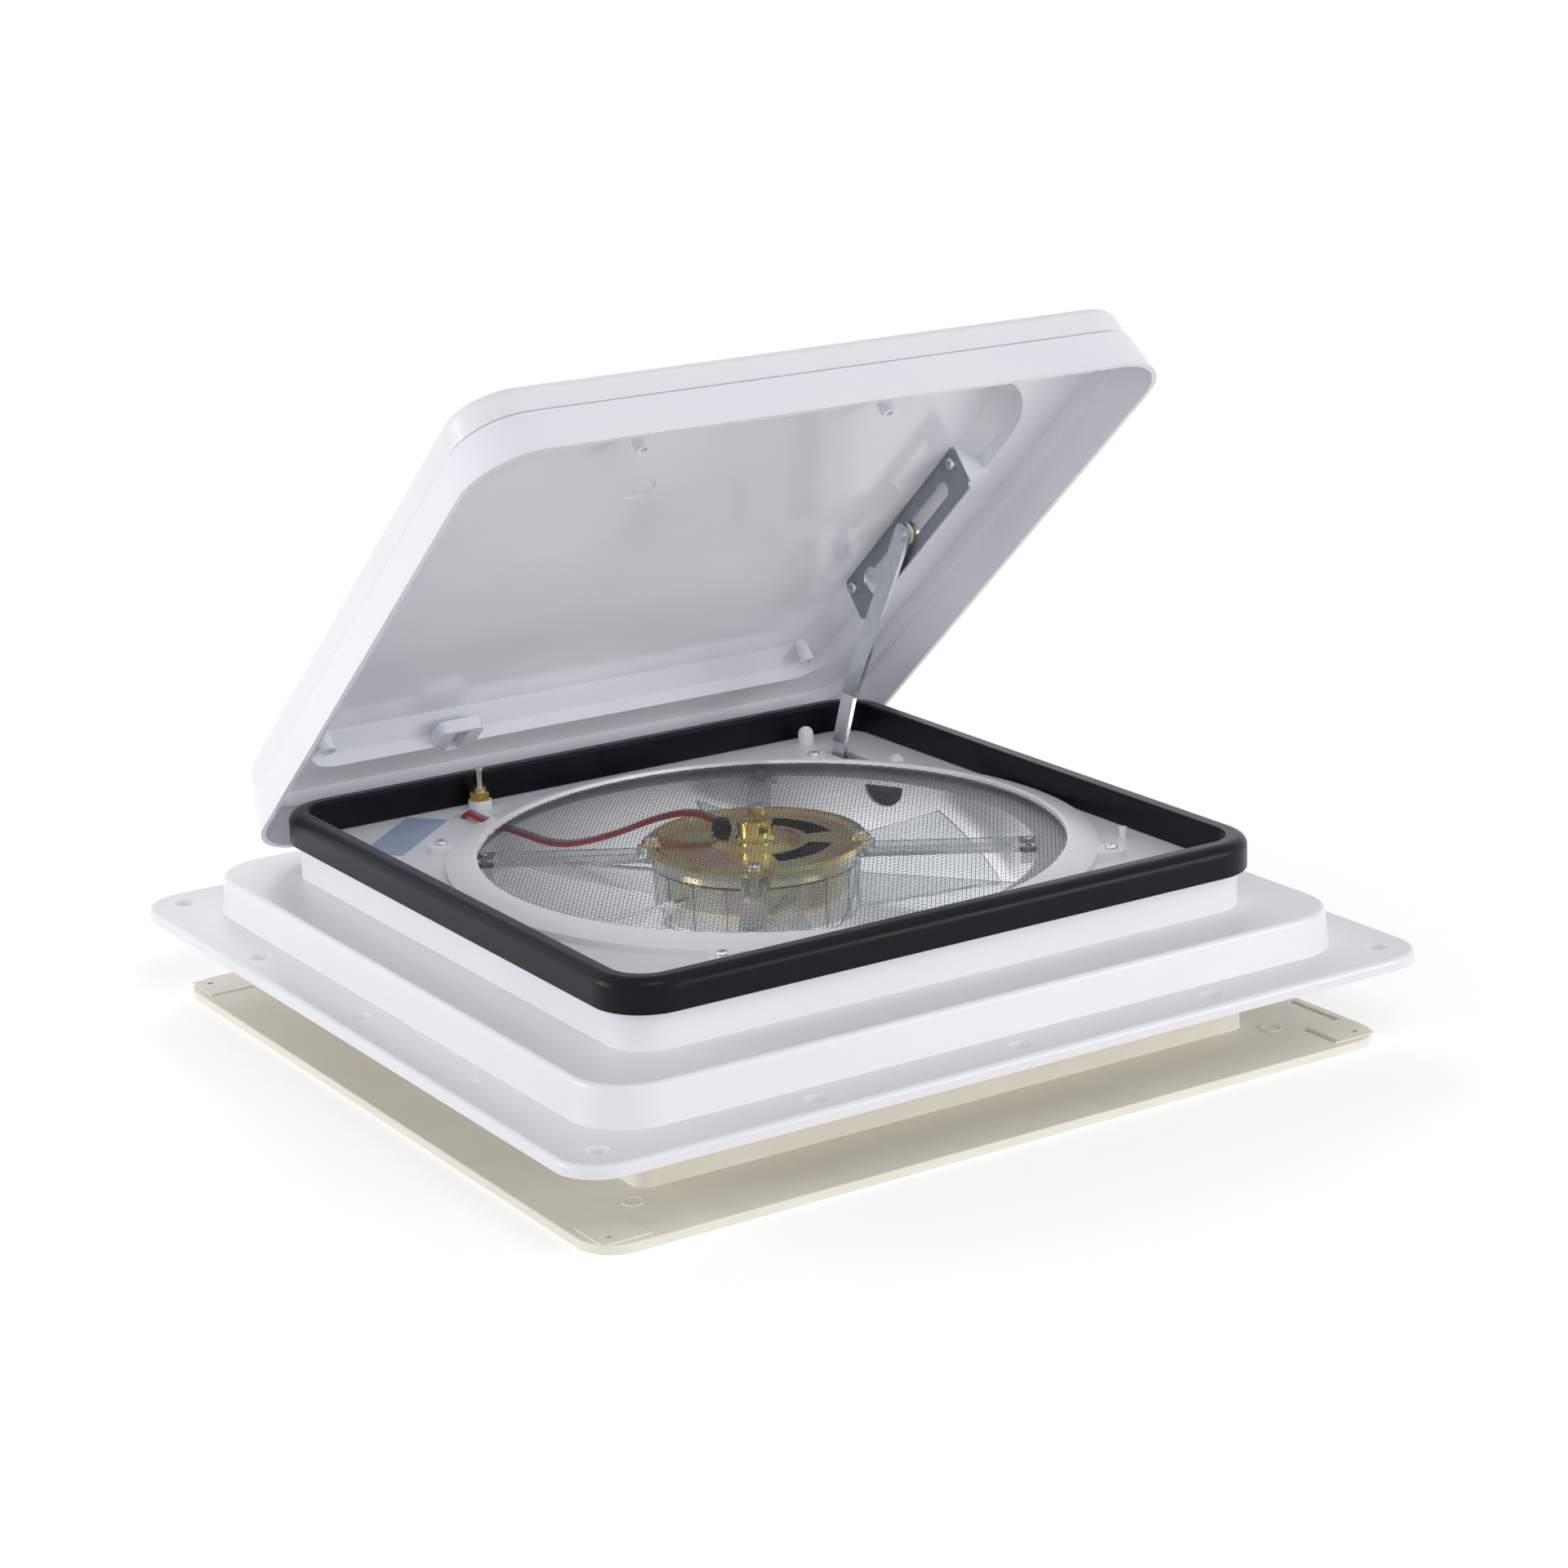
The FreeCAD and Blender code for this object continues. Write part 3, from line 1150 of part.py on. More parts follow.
def motor_wire(steps):
    wire, length, radii = wire_tube(steps, WIRE_RADIUS)
    share = wire.Volume / (math.pi * WIRE_RADIUS ** 2 * length)
    print("wire length %.1f, radii %s, volume share %.4f" % (length, radii, share))
    return wire


# Lift bracket, arm and roller

def bracket_screw_places():
    z = BRACKET_TOP - BRACKET_SCREW_INSET
    near = BRACKET_START + BRACKET_SCREW_INSET
    far = BRACKET_START + BRACKET_LENGTH - BRACKET_SCREW_INSET
    return [(lid_y(near), z), (lid_y(far), z)]


def slotted_bracket():
    """Steel plate along the lid with a keyhole slot that the roller runs in."""
    far_end = BRACKET_START + BRACKET_LENGTH
    plate = block((BRACKET_X, lid_y(far_end), BRACKET_TOP - BRACKET_WIDTH),
                  (BRACKET_BACK_X, lid_y(BRACKET_START), BRACKET_TOP))
    corners = [edge for edge in plate.Edges if edge.Length < BRACKET_SHEET + TOUCH]
    plate = plate.makeFillet(BRACKET_CORNER, corners)
    half = SLOT_WIDTH / 2
    far = lid_y(far_end - SLOT_MARGIN - half)
    near = lid_y(BRACKET_START + KEYHOLE_AT)
    cuts = [
        block((BRACKET_X, far, SLOT_Z - half), (BRACKET_BACK_X, near, SLOT_Z + half)),
        axle(half, BRACKET_X, BRACKET_BACK_X, far, SLOT_Z),
        axle(KEYHOLE_RADIUS, BRACKET_X, BRACKET_BACK_X, near, SLOT_Z),
    ]
    for y, z in bracket_screw_places():
        cuts.append(axle(BRACKET_SCREW + SCREW_CLEARANCE, BRACKET_X, BRACKET_BACK_X, y, z))
    return plate.cut(cuts)


def bracket_screws():
    screw = pan_screw(BRACKET_SCREW, BRACKET_SCREW_LENGTH)
    screw.rotate(Vector(0, 0, 0), Vector(0, 1, 0), -90)
    return Part.makeCompound([moved(screw, (BRACKET_X, y, z)) for y, z in bracket_screw_places()])


def roller_place():
    """The roller's centre in the bracket's slot with the lid open."""
    point = opened(Part.Vertex(0, lid_y(ROLLER_AT), SLOT_Z + ROLLER_OFFSET)).Point
    return point.y, point.z


def strip(points, width, start_x, end_x):
    """A flat strip of even width along points in the YZ plane, with round ends."""
    pieces = []
    for (ya, za), (yb, zb) in zip(points, points[1:]):
        side = Vector(0, za - zb, yb - ya).normalize() * (width / 2)
        a = Vector(start_x, ya, za)
        b = Vector(start_x, yb, zb)
        face = Part.Face(Part.makePolygon([a - side, b - side, b + side, a + side, a - side]))
        pieces.append(face.extrude(Vector(end_x - start_x, 0, 0)))
    pieces += [axle(width / 2, start_x, end_x, y, z) for y, z in points]
    return joined(pieces)


def lift_arm():
    """Steel strip that leaves the deck near the hinge, steps sideways and ends at the roller."""
    roller_y, roller_z = roller_place()
    foot = (PIVOT_Y + ARM_FOOT[0], PIVOT_Z + ARM_FOOT[1])
    knee = (PIVOT_Y + ARM_KNEE[0], PIVOT_Z + ARM_KNEE[1])
    half = ARM_SHEET / 2
    profile = strip([(PIVOT_Y, PIVOT_Z), foot, knee, (roller_y, roller_z)], ARM_WIDTH,
                    ARM_LOW_X - half, ARM_UP_X + half)
    side_line = [(ARM_LOW_X, PIVOT_Z - ARM_WIDTH), (ARM_LOW_X, foot[1]),
                 (ARM_UP_X, knee[1]), (ARM_UP_X, roller_z + ARM_WIDTH)]
    left = [Vector(x - half, 0, z) for x, z in side_line]
    right = [Vector(x + half, 0, z) for x, z in reversed(side_line)]
    band = Part.Face(Part.makePolygon(left + right + left[:1])).extrude(Vector(0, HINGE_Y, 0))
    pivot = axle(PIVOT_RADIUS + PIN_FIT, BOX_LOW_X, BOX_HIGH_X, PIVOT_Y, PIVOT_Z)
    rivet = axle(RIVET_RADIUS + TOUCH, BOX_LOW_X, BRACKET_X, roller_y, roller_z)
    return profile.common(band).cut([pivot, rivet])


def lift_arm_rivet():
    y, z = roller_place()
    front = ARM_UP_X - ARM_SHEET / 2
    back = BRACKET_BACK_X + ROLLER_GAP + ROLLER_END_GAP
    return joined([
        axle(RIVET_RADIUS, front, back, y, z),
        axle(RIVET_HEAD, front - RIVET_HEAD_THICK, front, y, z),
        axle(RIVET_WASHER, back, back + RIVET_WASHER_THICK, y, z)])


def slot_roller():
    y, z = roller_place()
    front = ARM_UP_X + ARM_SHEET / 2 + ROLLER_END_GAP
    back = BRACKET_BACK_X + ROLLER_GAP
    flange = axle(ROLLER_FLANGE, front, BRACKET_X - ROLLER_GAP, y, z)
    roller = joined([flange, axle(ROLLER_HUB, front, back, y, z)])
    return roller.cut(axle(RIVET_RADIUS + PIN_FIT, front, back, y, z))


# Lift gear

def lift_worm_wheel():
    """Toothed wheel on the arm's pivot, its teeth drawn with straight flanks."""
    start = WHEEL_END_X - WHEEL_WIDTH
    flanks = ((WHEEL_ROOT, 0.0), (WHEEL_ROOT, 0.28), (WHEEL_TIP, 0.42), (WHEEL_TIP, 0.72))
    points = []
    for tooth in range(WHEEL_TEETH):
        for radius, share in flanks:
            angle = 2 * math.pi * (tooth + share) / WHEEL_TEETH
            y = PIVOT_Y + radius * math.cos(angle)
            z = PIVOT_Z + radius * math.sin(angle)
            points.append(Vector(start, y, z))
    gear = Part.Face(Part.makePolygon(points + points[:1])).extrude(Vector(WHEEL_WIDTH, 0, 0))
    return gear.cut(axle(PIVOT_RADIUS + PIN_FIT, start, WHEEL_END_X, PIVOT_Y, PIVOT_Z))


def lift_gear_box():
    """Open-topped box under the deck that carries the pivot pin and the worm."""
    front = PIVOT_Y - BOX_FRONT
    back = PIVOT_Y + BOX_BEHIND
    floor = BOX_BOTTOM + CHEEK
    box = block((BOX_LOW_X, front, BOX_BOTTOM), (BOX_HIGH_X, back, DECK_UNDER))
    space = block((BOX_LOW_X + CHEEK, front, floor), (BOX_HIGH_X - CHEEK, back - CHEEK, DECK_UNDER))
    pin = axle(PIVOT_RADIUS + TOUCH, BOX_LOW_X, BOX_HIGH_X, PIVOT_Y, PIVOT_Z)
    return box.cut([space, pin, post(LIFT_SHAFT + PIN_FIT, WORM_X, WORM_Y, BOX_BOTTOM, floor)])


def lift_pivot_pin():
    return axle(PIVOT_RADIUS, BOX_LOW_X, BOX_HIGH_X, PIVOT_Y, PIVOT_Z)


def lift_worm_shaft():
    """Worm with its thread and the long shaft down to the knob."""
    low = PIVOT_Z - WORM_LENGTH / 2
    pitch = math.pi * WHEEL_MODULE
    turns = int(WORM_LENGTH / pitch) - 1
    root = WORM_CORE - WORM_FIT
    section = [(root, -THREAD_ROOT / 2), (WORM_RADIUS, -THREAD_CREST / 2),
               (WORM_RADIUS, THREAD_CREST / 2), (root, THREAD_ROOT / 2)]
    corners = [Vector(r, 0, z) for r, z in section]
    helix = Part.Wire(Part.makeHelix(pitch, turns * pitch, WORM_CORE))
    thread = helix.makePipeShell([Part.makePolygon(corners + corners[:1])], True, True)
    thread = moved(thread, (WORM_X, WORM_Y, low + pitch / 2))
    core = post(WORM_CORE, WORM_X, WORM_Y, low, low + WORM_LENGTH)
    return joined([core, thread, post(LIFT_SHAFT, WORM_X, WORM_Y, KNOB_BOTTOM + KNOB_FLOOR, low)])


def grip_knob(radius, x, y, bore):
    """A hand knob with finger scallops and a blind bore from above."""
    knob = post(radius, x, y, KNOB_BOTTOM, KNOB_TOP)
    knob = knob.makeFillet(KNOB_ROUND, level_edges(knob, KNOB_BOTTOM))
    scallop = post(SCALLOP_RADIUS, radius + SCALLOP_REACH, 0, KNOB_BOTTOM, KNOB_TOP)
    scallops = [moved(cut, (x, y, 0)) for cut in about_axis(scallop, KNOB_SCALLOPS)]
    return knob.cut(scallops + [post(bore, x, y, KNOB_BOTTOM + KNOB_FLOOR, KNOB_TOP)])


def lift_knob():
    return grip_knob(KNOB_RADIUS, WORM_X, WORM_Y, LIFT_SHAFT)


# Lid switch

def lid_switch_body():
    tail_top = SWITCH_BOTTOM + SWITCH_TAIL
    body = post(SWITCH_BODY, SWITCH_X, SWITCH_Y, SWITCH_BOTTOM, NECK_TOP)
    tail = post(SWITCH_BODY + SWITCH_TAIL_SPREAD, SWITCH_X, SWITCH_Y, SWITCH_BOTTOM, tail_top)
    chamber = post(CHAMBER_RADIUS, SWITCH_X, SWITCH_Y, CHAMBER_FLOOR, CHAMBER_ROOF)
    bore = post(PLUNGER_RADIUS + PLUNGER_FIT, SWITCH_X, SWITCH_Y, CHAMBER_ROOF, NECK_TOP)
    return joined([body, tail]).cut([chamber, bore])


def lid_switch_nut():
    nut = hex_prism(SWITCH_NUT_FLATS, SWITCH_X, SWITCH_Y, NUT_BOTTOM, NUT_TOP)
    return nut.cut(post(SWITCH_BODY + TOUCH, SWITCH_X, SWITCH_Y, NUT_BOTTOM, NUT_TOP))


def lid_switch_plunger():
    """Sprung pin with a shoulder that stops it under the neck."""
    head_low = PLUNGER_TOP - PLUNGER_HEAD_LENGTH
    shoulder_radius = PLUNGER_RADIUS + PLUNGER_SHOULDER
    stem = post(PLUNGER_RADIUS, SWITCH_X, SWITCH_Y, SHOULDER_BOTTOM, PLUNGER_TOP)
    head = post(PLUNGER_RADIUS + PLUNGER_HEAD_SPREAD, SWITCH_X, SWITCH_Y, head_low, PLUNGER_TOP)
    head = head.makeFillet(PLUNGER_HEAD_SPREAD, level_edges(head, PLUNGER_TOP))
    shoulder = post(shoulder_radius, SWITCH_X, SWITCH_Y, SHOULDER_BOTTOM, SHOULDER_TOP)
    return joined([stem, head, shoulder])


# Underside, controls and garnish

def bottom_cover():
    half = BASE_COLLAR_HALF - WALL - SLIDE_FIT
    cover = square_slab(half, COLLAR_CORNER - WALL, BASE_BOTTOM, COVER_TOP)
    holes = [
        (DUCT_RADIUS + DUCT_WALL + SLIDE_FIT, 0, 0),
        (LIFT_SHAFT + SLIDE_FIT, WORM_X, WORM_Y),
        (SPEED_BUSH, SPEED_X, SPEED_Y),
        (GROMMET_RADIUS, SUPPLY_X, SUPPLY_Y),
    ]
    holes += [(COVER_SCREW + SCREW_CLEARANCE, sx * POST_PLACE, sy * POST_PLACE) for sx, sy in CORNERS]
    return cover.cut([post(radius, x, y, BASE_BOTTOM, COVER_TOP) for radius, x, y in holes])


def bottom_cover_screws():
    screw = pan_screw(COVER_SCREW, COVER_SCREW_LENGTH)
    screw.rotate(Vector(0, 0, 0), Vector(1, 0, 0), 180)
    places = [(sx * POST_PLACE, sy * POST_PLACE, BASE_BOTTOM) for sx, sy in CORNERS]
    return Part.makeCompound([moved(screw, place) for place in places])


def speed_switch():
    half = SPEED_BODY / 2
    top = COVER_TOP + SPEED_HEIGHT
    low = BASE_BOTTOM - SPEED_BUSH_DROP
    body = block((SPEED_X - half, SPEED_Y - half, COVER_TOP), (SPEED_X + half, SPEED_Y + half, top))
    bush = post(SPEED_BUSH - TOUCH, SPEED_X, SPEED_Y, low, COVER_TOP)
    return joined([body, bush]).cut(post(LIFT_SHAFT + PIN_FIT, SPEED_X, SPEED_Y, low, top - SPINDLE_ROOF))


def speed_knob():
    """Knob and spindle of the speed switch."""
    top = COVER_TOP + SPEED_HEIGHT - SPINDLE_ROOF - SPINDLE_ROOM
    spindle = post(LIFT_SHAFT, SPEED_X, SPEED_Y, KNOB_BOTTOM + KNOB_FLOOR, top)
    return joined([grip_knob(SPEED_KNOB, SPEED_X, SPEED_Y, LIFT_SHAFT / 2), spindle])


def supply_grommet():
    """Rubber bush where the supply cable enters."""
    low = BASE_BOTTOM - GROMMET_LIP
    top = COVER_TOP + GROMMET_LIP
    wide = GROMMET_RADIUS + GROMMET_FLANGE
    ring = joined([
        post(GROMMET_RADIUS - TOUCH, SUPPLY_X, SUPPLY_Y, low, top),
        post(wide, SUPPLY_X, SUPPLY_Y, low, BASE_BOTTOM),
        post(wide, SUPPLY_X, SUPPLY_Y, COVER_TOP, top)])
    return ring.cut(post(SUPPLY_BORE, SUPPLY_X, SUPPLY_Y, low, top))


def blank_label():
    half_x = LABEL_LENGTH / 2
    half_y = LABEL_WIDTH / 2
    label = block((-half_x, -half_y, 0), (half_x, half_y, LABEL_SHEET))
    label.rotate(Vector(0, 0, 0), Vector(0, 0, 1), LABEL_ANGLE)
    return moved(label, (LABEL_X_INSET - RISER_HALF, RISER_HALF - LABEL_Y_INSET, DECK_TOP))


def garnish_corner(sx, sy):
    """Raised screw pad and ring mark of one corner, drawn for +X +Y and then mirrored."""
    hole = GARNISH_HALF - GARNISH_HOLE_INSET
    mark_place = COLLAR_HALF + MARK_INSET
    top = GARNISH_TOP + PAD_RISE
    pad = block((hole - PAD_INNER, hole - PAD_INNER, GARNISH_TOP), (hole + PAD_OUTER, hole + PAD_OUTER, top))
    mark = moved(tube(MARK_RADIUS, MARK_RADIUS - MARK_LINE, GARNISH_TOP, top), (mark_place, mark_place, 0))
    pieces = []
    for piece in (pad, mark):
        if sx < 0:
            piece = piece.mirror(Vector(0, 0, 0), Vector(1, 0, 0))
        if sy < 0:
            piece = piece.mirror(Vector(0, 0, 0), Vector(0, 1, 0))
        pieces.append(piece)
    return pieces


def garnish_grooves():
    """Two straight grooves beside the pad of the +X -Y corner."""
    pad_edge = GARNISH_HALF - GARNISH_HOLE_INSET - PAD_INNER
    outer = GARNISH_HALF - GROOVE_MARGIN
    low = GARNISH_TOP - GROOVE_DEPTH
    top = GARNISH_TOP + PAD_RISE
    return [block((pad_edge, -pad_edge - SHORT_GROOVE, low), (pad_edge + GROOVE_WIDTH, -pad_edge, top)),
            block((outer - GROOVE_WIDTH, -pad_edge, low), (outer, -pad_edge + LONG_GROOVE, top))]


def ceiling_garnish():
    """Inside trim plate with a collar that slides over the base's collar."""
    plate = square_slab(GARNISH_HALF, GARNISH_CORNER, GARNISH_BOTTOM, GARNISH_TOP)
    plate = plate.makeFillet(GARNISH_EDGE, level_edges(plate, GARNISH_TOP))
    under = square_slab(GARNISH_HALF - COLLAR_WALL, GARNISH_CORNER - COLLAR_WALL,
                        GARNISH_BOTTOM, GARNISH_TOP - GARNISH_SHEET)
    rim = square_slab(GARNISH_OPENING + COLLAR_WALL, COLLAR_CORNER, GARNISH_BOTTOM, GARNISH_TOP)
    opening = square_slab(GARNISH_OPENING, COLLAR_CORNER, GARNISH_BOTTOM, GARNISH_TOP)
    collar = square_slab(COLLAR_HALF, COLLAR_CORNER, GARNISH_TOP, -COLLAR_GAP)
    bore = square_slab(COLLAR_HALF - COLLAR_WALL, COLLAR_CORNER - COLLAR_WALL, GARNISH_TOP, -COLLAR_GAP)
    pieces = [plate.cut(under), rim, collar]
    hole = GARNISH_HALF - GARNISH_HOLE_INSET
    cuts = [opening, bore] + garnish_grooves()
    for sx, sy in CORNERS:
        pieces += garnish_corner(sx, sy)
        cuts.append(post(GARNISH_HOLE, sx * hole, sy * hole, GARNISH_BOTTOM, GARNISH_TOP + PAD_RISE))
    return joined(pieces).cut(cuts)


BODY_PIECES = {
    "roof_base": roof_base,
    "lid_gasket": lid_gasket,
    "hinge_pins": hinge_pins,
    "screen_ring": screen_ring,
    "screen_ring_screws": ring_screws,
    "screen_mesh": screen_mesh,
    "motor_spider": motor_spider,
    "spider_foot_screws": spider_foot_screws,
    "motor_can": motor_can,
    "motor_end_plate": motor_end_plate,
    "motor_bearing_cap": bearing_cap,
    "motor_bearing_bushes": bearing_bushes,
    "motor_magnets": motor_magnets,
    "motor_brushes": motor_brushes,
    "motor_ear_screws": motor_ear_screws,
    "motor_wire_grommet": motor_wire_grommet,
    "motor_shaft": motor_shaft,
    "motor_armature": motor_armature,
    "fan_blade": fan_blade,
    "fan_nut": fan_nut,
    "lift_arm": lift_arm,
    "lift_arm_rivet": lift_arm_rivet,
    "slot_roller": slot_roller,
    "lift_worm_wheel": lift_worm_wheel,
    "lift_gear_box": lift_gear_box,
    "lift_pivot_pin": lift_pivot_pin,
    "lift_worm_shaft": lift_worm_shaft,
    "lift_knob": lift_knob,
    "lid_switch_body": lid_switch_body,
    "lid_switch_nut": lid_switch_nut,
    "lid_switch_plunger": lid_switch_plunger,
    "bottom_cover": bottom_cover,
    "bottom_cover_screws": bottom_cover_screws,
    "speed_switch": speed_switch,
    "speed_knob": speed_knob,
    "supply_grommet": supply_grommet,
    "blank_label": blank_label,
    "ceiling_garnish": ceiling_garnish,
}

LID_PIECES = {
    "lid_liner": lid_liner,
    "lid_cover": lid_cover,
    "slotted_bracket": slotted_bracket,
    "bracket_screws": bracket_screws,
}


def main():
    os.makedirs("parts", exist_ok=True)
    shapes = {name: make() for name, make in BODY_PIECES.items()}
    shapes["motor_wire_red"] = motor_wire(0)
    shapes["motor_wire_grey"] = motor_wire(1)
    for name, make in LID_PIECES.items():
        shapes[name] = opened(make())
    for name, shape in shapes.items():
        print("%-21s solids %d valid %s" % (name, len(shape.Solids), shape.isValid()))
        shape.exportStep("parts/%s.step" % name)


main()
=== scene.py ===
# %% [markdown]
# # A roof vent fan with its lid open
#
# The object is a square roof ventilator: a flanged base with a fan under an insect screen, a
# domed lid that a crank arm lifts, and a trim plate for the ceiling below. The solids come
# from the CAD model, so this lesson is about finishes, the woven screen, the two motor wires
# and the light.

# %% Load the frame
import bpy
import math
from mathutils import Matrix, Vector


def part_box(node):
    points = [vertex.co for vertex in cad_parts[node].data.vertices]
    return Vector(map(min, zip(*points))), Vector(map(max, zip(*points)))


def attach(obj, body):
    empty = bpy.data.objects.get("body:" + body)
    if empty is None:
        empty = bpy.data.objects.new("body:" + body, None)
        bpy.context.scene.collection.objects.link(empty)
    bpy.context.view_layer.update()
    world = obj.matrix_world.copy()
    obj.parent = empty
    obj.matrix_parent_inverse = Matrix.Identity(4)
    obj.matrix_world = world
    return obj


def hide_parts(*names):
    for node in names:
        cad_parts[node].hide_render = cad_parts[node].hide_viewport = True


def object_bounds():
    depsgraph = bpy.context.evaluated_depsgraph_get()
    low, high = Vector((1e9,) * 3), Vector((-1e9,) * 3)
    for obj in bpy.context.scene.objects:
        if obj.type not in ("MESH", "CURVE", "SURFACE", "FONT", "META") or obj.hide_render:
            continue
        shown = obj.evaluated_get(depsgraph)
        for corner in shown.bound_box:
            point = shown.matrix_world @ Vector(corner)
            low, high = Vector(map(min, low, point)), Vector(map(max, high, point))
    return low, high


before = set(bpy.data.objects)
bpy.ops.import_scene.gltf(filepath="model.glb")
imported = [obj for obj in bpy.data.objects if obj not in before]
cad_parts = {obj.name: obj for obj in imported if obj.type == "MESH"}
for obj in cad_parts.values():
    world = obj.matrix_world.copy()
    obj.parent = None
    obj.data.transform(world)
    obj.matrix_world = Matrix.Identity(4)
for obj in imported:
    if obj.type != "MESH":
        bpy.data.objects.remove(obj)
cad_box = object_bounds()
scene = bpy.context.scene

# %% [markdown]
# ## Camera
#
# The photograph was taken a little above the rim, from the front left. Its place and angles
# were worked out from the flange's holes, the screen ring and the edges of the base, so the
# camera is typed in and not aimed by a constraint. An 82 mm lens on a 36 mm sensor gives the
# same mild perspective.

# %% Camera
CAMERA_PLACE = (-1.00675, -1.64555, 0.63881)
CAMERA_DEGREES = (74.073, 1.956, -32.521)
LENS_MM = 82.3
SENSOR_MM = 36

camera = bpy.data.objects.new("camera", bpy.data.cameras.new("camera"))
scene.collection.objects.link(camera)
camera.location = CAMERA_PLACE
camera.rotation_euler = [math.radians(a) for a in CAMERA_DEGREES]
camera.data.lens = LENS_MM
camera.data.sensor_width = SENSOR_MM
scene.camera = camera
print("camera at", tuple(camera.location))

# %% [markdown]
# ## Motor wires
#
# Two insulated wires leave a hole in the deck, pass under the screen ring and end in a rubber
# sleeve on the motor. A wire could be a mesh tube, but a NURBS curve with a round bevel bends
# smoothly from few points. Its thickness is the bevel depth times each point's radius. The
# radius holds the wire's real size here, because Blender adds it to the curve's box, and a
# radius of one metre would make that box far too large. The points are the CAD route's corners
# in millimetres.

# %% Wires as bevelled curves
MM = 0.001
WIRE_ROUTE = [
    (-98, 172, 36), (-98, 171, 54), (-95, 146, 51), (-90, 116, 51), (-84, 78, 49.5),
    (-62, 56, 57), (-34, 48, 65.5), (-13, 36, 67.5), (-9, 23, 61)]
WIRE_STEP = (3.4, 3.0)
WIRE_RADIUS = 1.5


def motor_wire(name, steps):
    """One wire along the route, moved sideways by a number of steps."""
    curve = bpy.data.curves.new(name, "CURVE")
    curve.dimensions = "3D"
    curve.bevel_depth = 1.0
    curve.bevel_resolution = 5
    curve.resolution_u = 12
    curve.use_fill_caps = True
    spline = curve.splines.new("NURBS")
    spline.points.add(len(WIRE_ROUTE) - 1)
    for point, (x, y, z) in zip(spline.points, WIRE_ROUTE):
        point.co = ((x + steps * WIRE_STEP[0]) * MM, (y + steps * WIRE_STEP[1]) * MM, z * MM, 1)
        point.radius = WIRE_RADIUS * MM
    spline.order_u = 3
    spline.use_endpoint_u = True
    wire = bpy.data.objects.new(name, curve)
    scene.collection.objects.link(wire)
    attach(wire, "base")
    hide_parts(name.replace("_run", ""))
    print(name, "length", round(spline.calc_length(), 4))


motor_wire("motor_wire_red_run", 0)
motor_wire("motor_wire_grey_run", 1)

# %% [markdown]
# ## Insect screen
#
# The real screen is a plain weave of fine wire pressed to a shallow dome. A holed texture would
# look flat from close by, so each wire is modelled: a thin diamond tube that goes over one
# crossing wire and under the next. In the photograph the weave is turned by 36 degrees to the
# base, and its spacing is about 1.65 mm. It is drawn coarser, at 2.3 mm, so that the weave
# still shows at the render's size.

# %% Woven screen
low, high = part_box("screen_mesh")
EDGE_GAP = 0.2 * MM
SCREEN_CENTRE = (low + high) / 2
SCREEN_RADIUS = (high.x - low.x) / 2 - EDGE_GAP
SCREEN_RISE = 16 * MM
SCREEN_BALL = (SCREEN_RADIUS ** 2 + SCREEN_RISE ** 2) / (2 * SCREEN_RISE)
WEAVE_PITCH = 2.3 * MM
WEAVE_TURN = math.radians(-36)
STRAND = 0.14 * MM
STRAND_CORNERS = ((STRAND, 0), (0, STRAND), (-STRAND, 0), (0, -STRAND))
AROUND = len(STRAND_CORNERS)


def dome_height(x, y):
    """Height of the dome's surface over a point, from the screen's centre."""
    drop = SCREEN_BALL - math.sqrt(SCREEN_BALL ** 2 - x * x - y * y)
    return high.z - STRAND * 2 - drop


def weave(turned):
    """All the wires of one direction as points and quads; turned swaps X and Y."""
    points, faces = [], []
    cosine, sine = math.cos(WEAVE_TURN), math.sin(WEAVE_TURN)
    count = int(SCREEN_RADIUS / WEAVE_PITCH)
    for k in range(-count, count + 1):
        across = k * WEAVE_PITCH
        reach = int(math.sqrt(max(SCREEN_RADIUS ** 2 - across ** 2, 0)) / WEAVE_PITCH)
        if reach < 1:
            continue
        start = len(points)
        for j in range(-reach, reach + 1):
            along = j * WEAVE_PITCH
            over = STRAND if (j + k + turned) % 2 else -STRAND
            z = dome_height(along, across) + over
            for side, rise in STRAND_CORNERS:
                x, y = along, across + side
                if turned:
                    x, y = y, x
                x, y = x * cosine - y * sine, x * sine + y * cosine
                points.append((SCREEN_CENTRE.x + x, SCREEN_CENTRE.y + y, z + rise))
        last = start + 2 * reach * AROUND
        for ring in range(start, last, AROUND):
            for c in range(AROUND):
                d = (c + 1) % AROUND
                quad = (ring + c, ring + d, ring + d + AROUND, ring + c + AROUND)
                faces.append(quad if turned else quad[::-1])
        for ring, flip in ((start, False), (last, True)):
            cap = tuple(range(ring, ring + AROUND))
            faces.append(cap if flip == bool(turned) else cap[::-1])
    return points, faces


for turned, name in ((0, "screen_warp"), (1, "screen_weft")):
    points, faces = weave(turned)
    mesh = bpy.data.meshes.new(name)
    mesh.from_pydata(points, [], faces)
    mesh.update()
    piece = bpy.data.objects.new(name, mesh)
    scene.collection.objects.link(piece)
    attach(piece, "base")
    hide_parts("screen_mesh")
    print(name, "quads", len(faces))

# %% [markdown]
# ## How the finishes are made
#
# Colours are picked as sRGB hex values, the way a paint program shows them, and turned to the
# linear numbers that a shader works with. One helper adds a node with its settings, constants
# and links, so each finish below reads as a short list of what the surface does.

# %% Helpers for finishes
# Nearly all values of a noise lie between these two.
NOISE_LOW, NOISE_HIGH = 0.35, 0.65


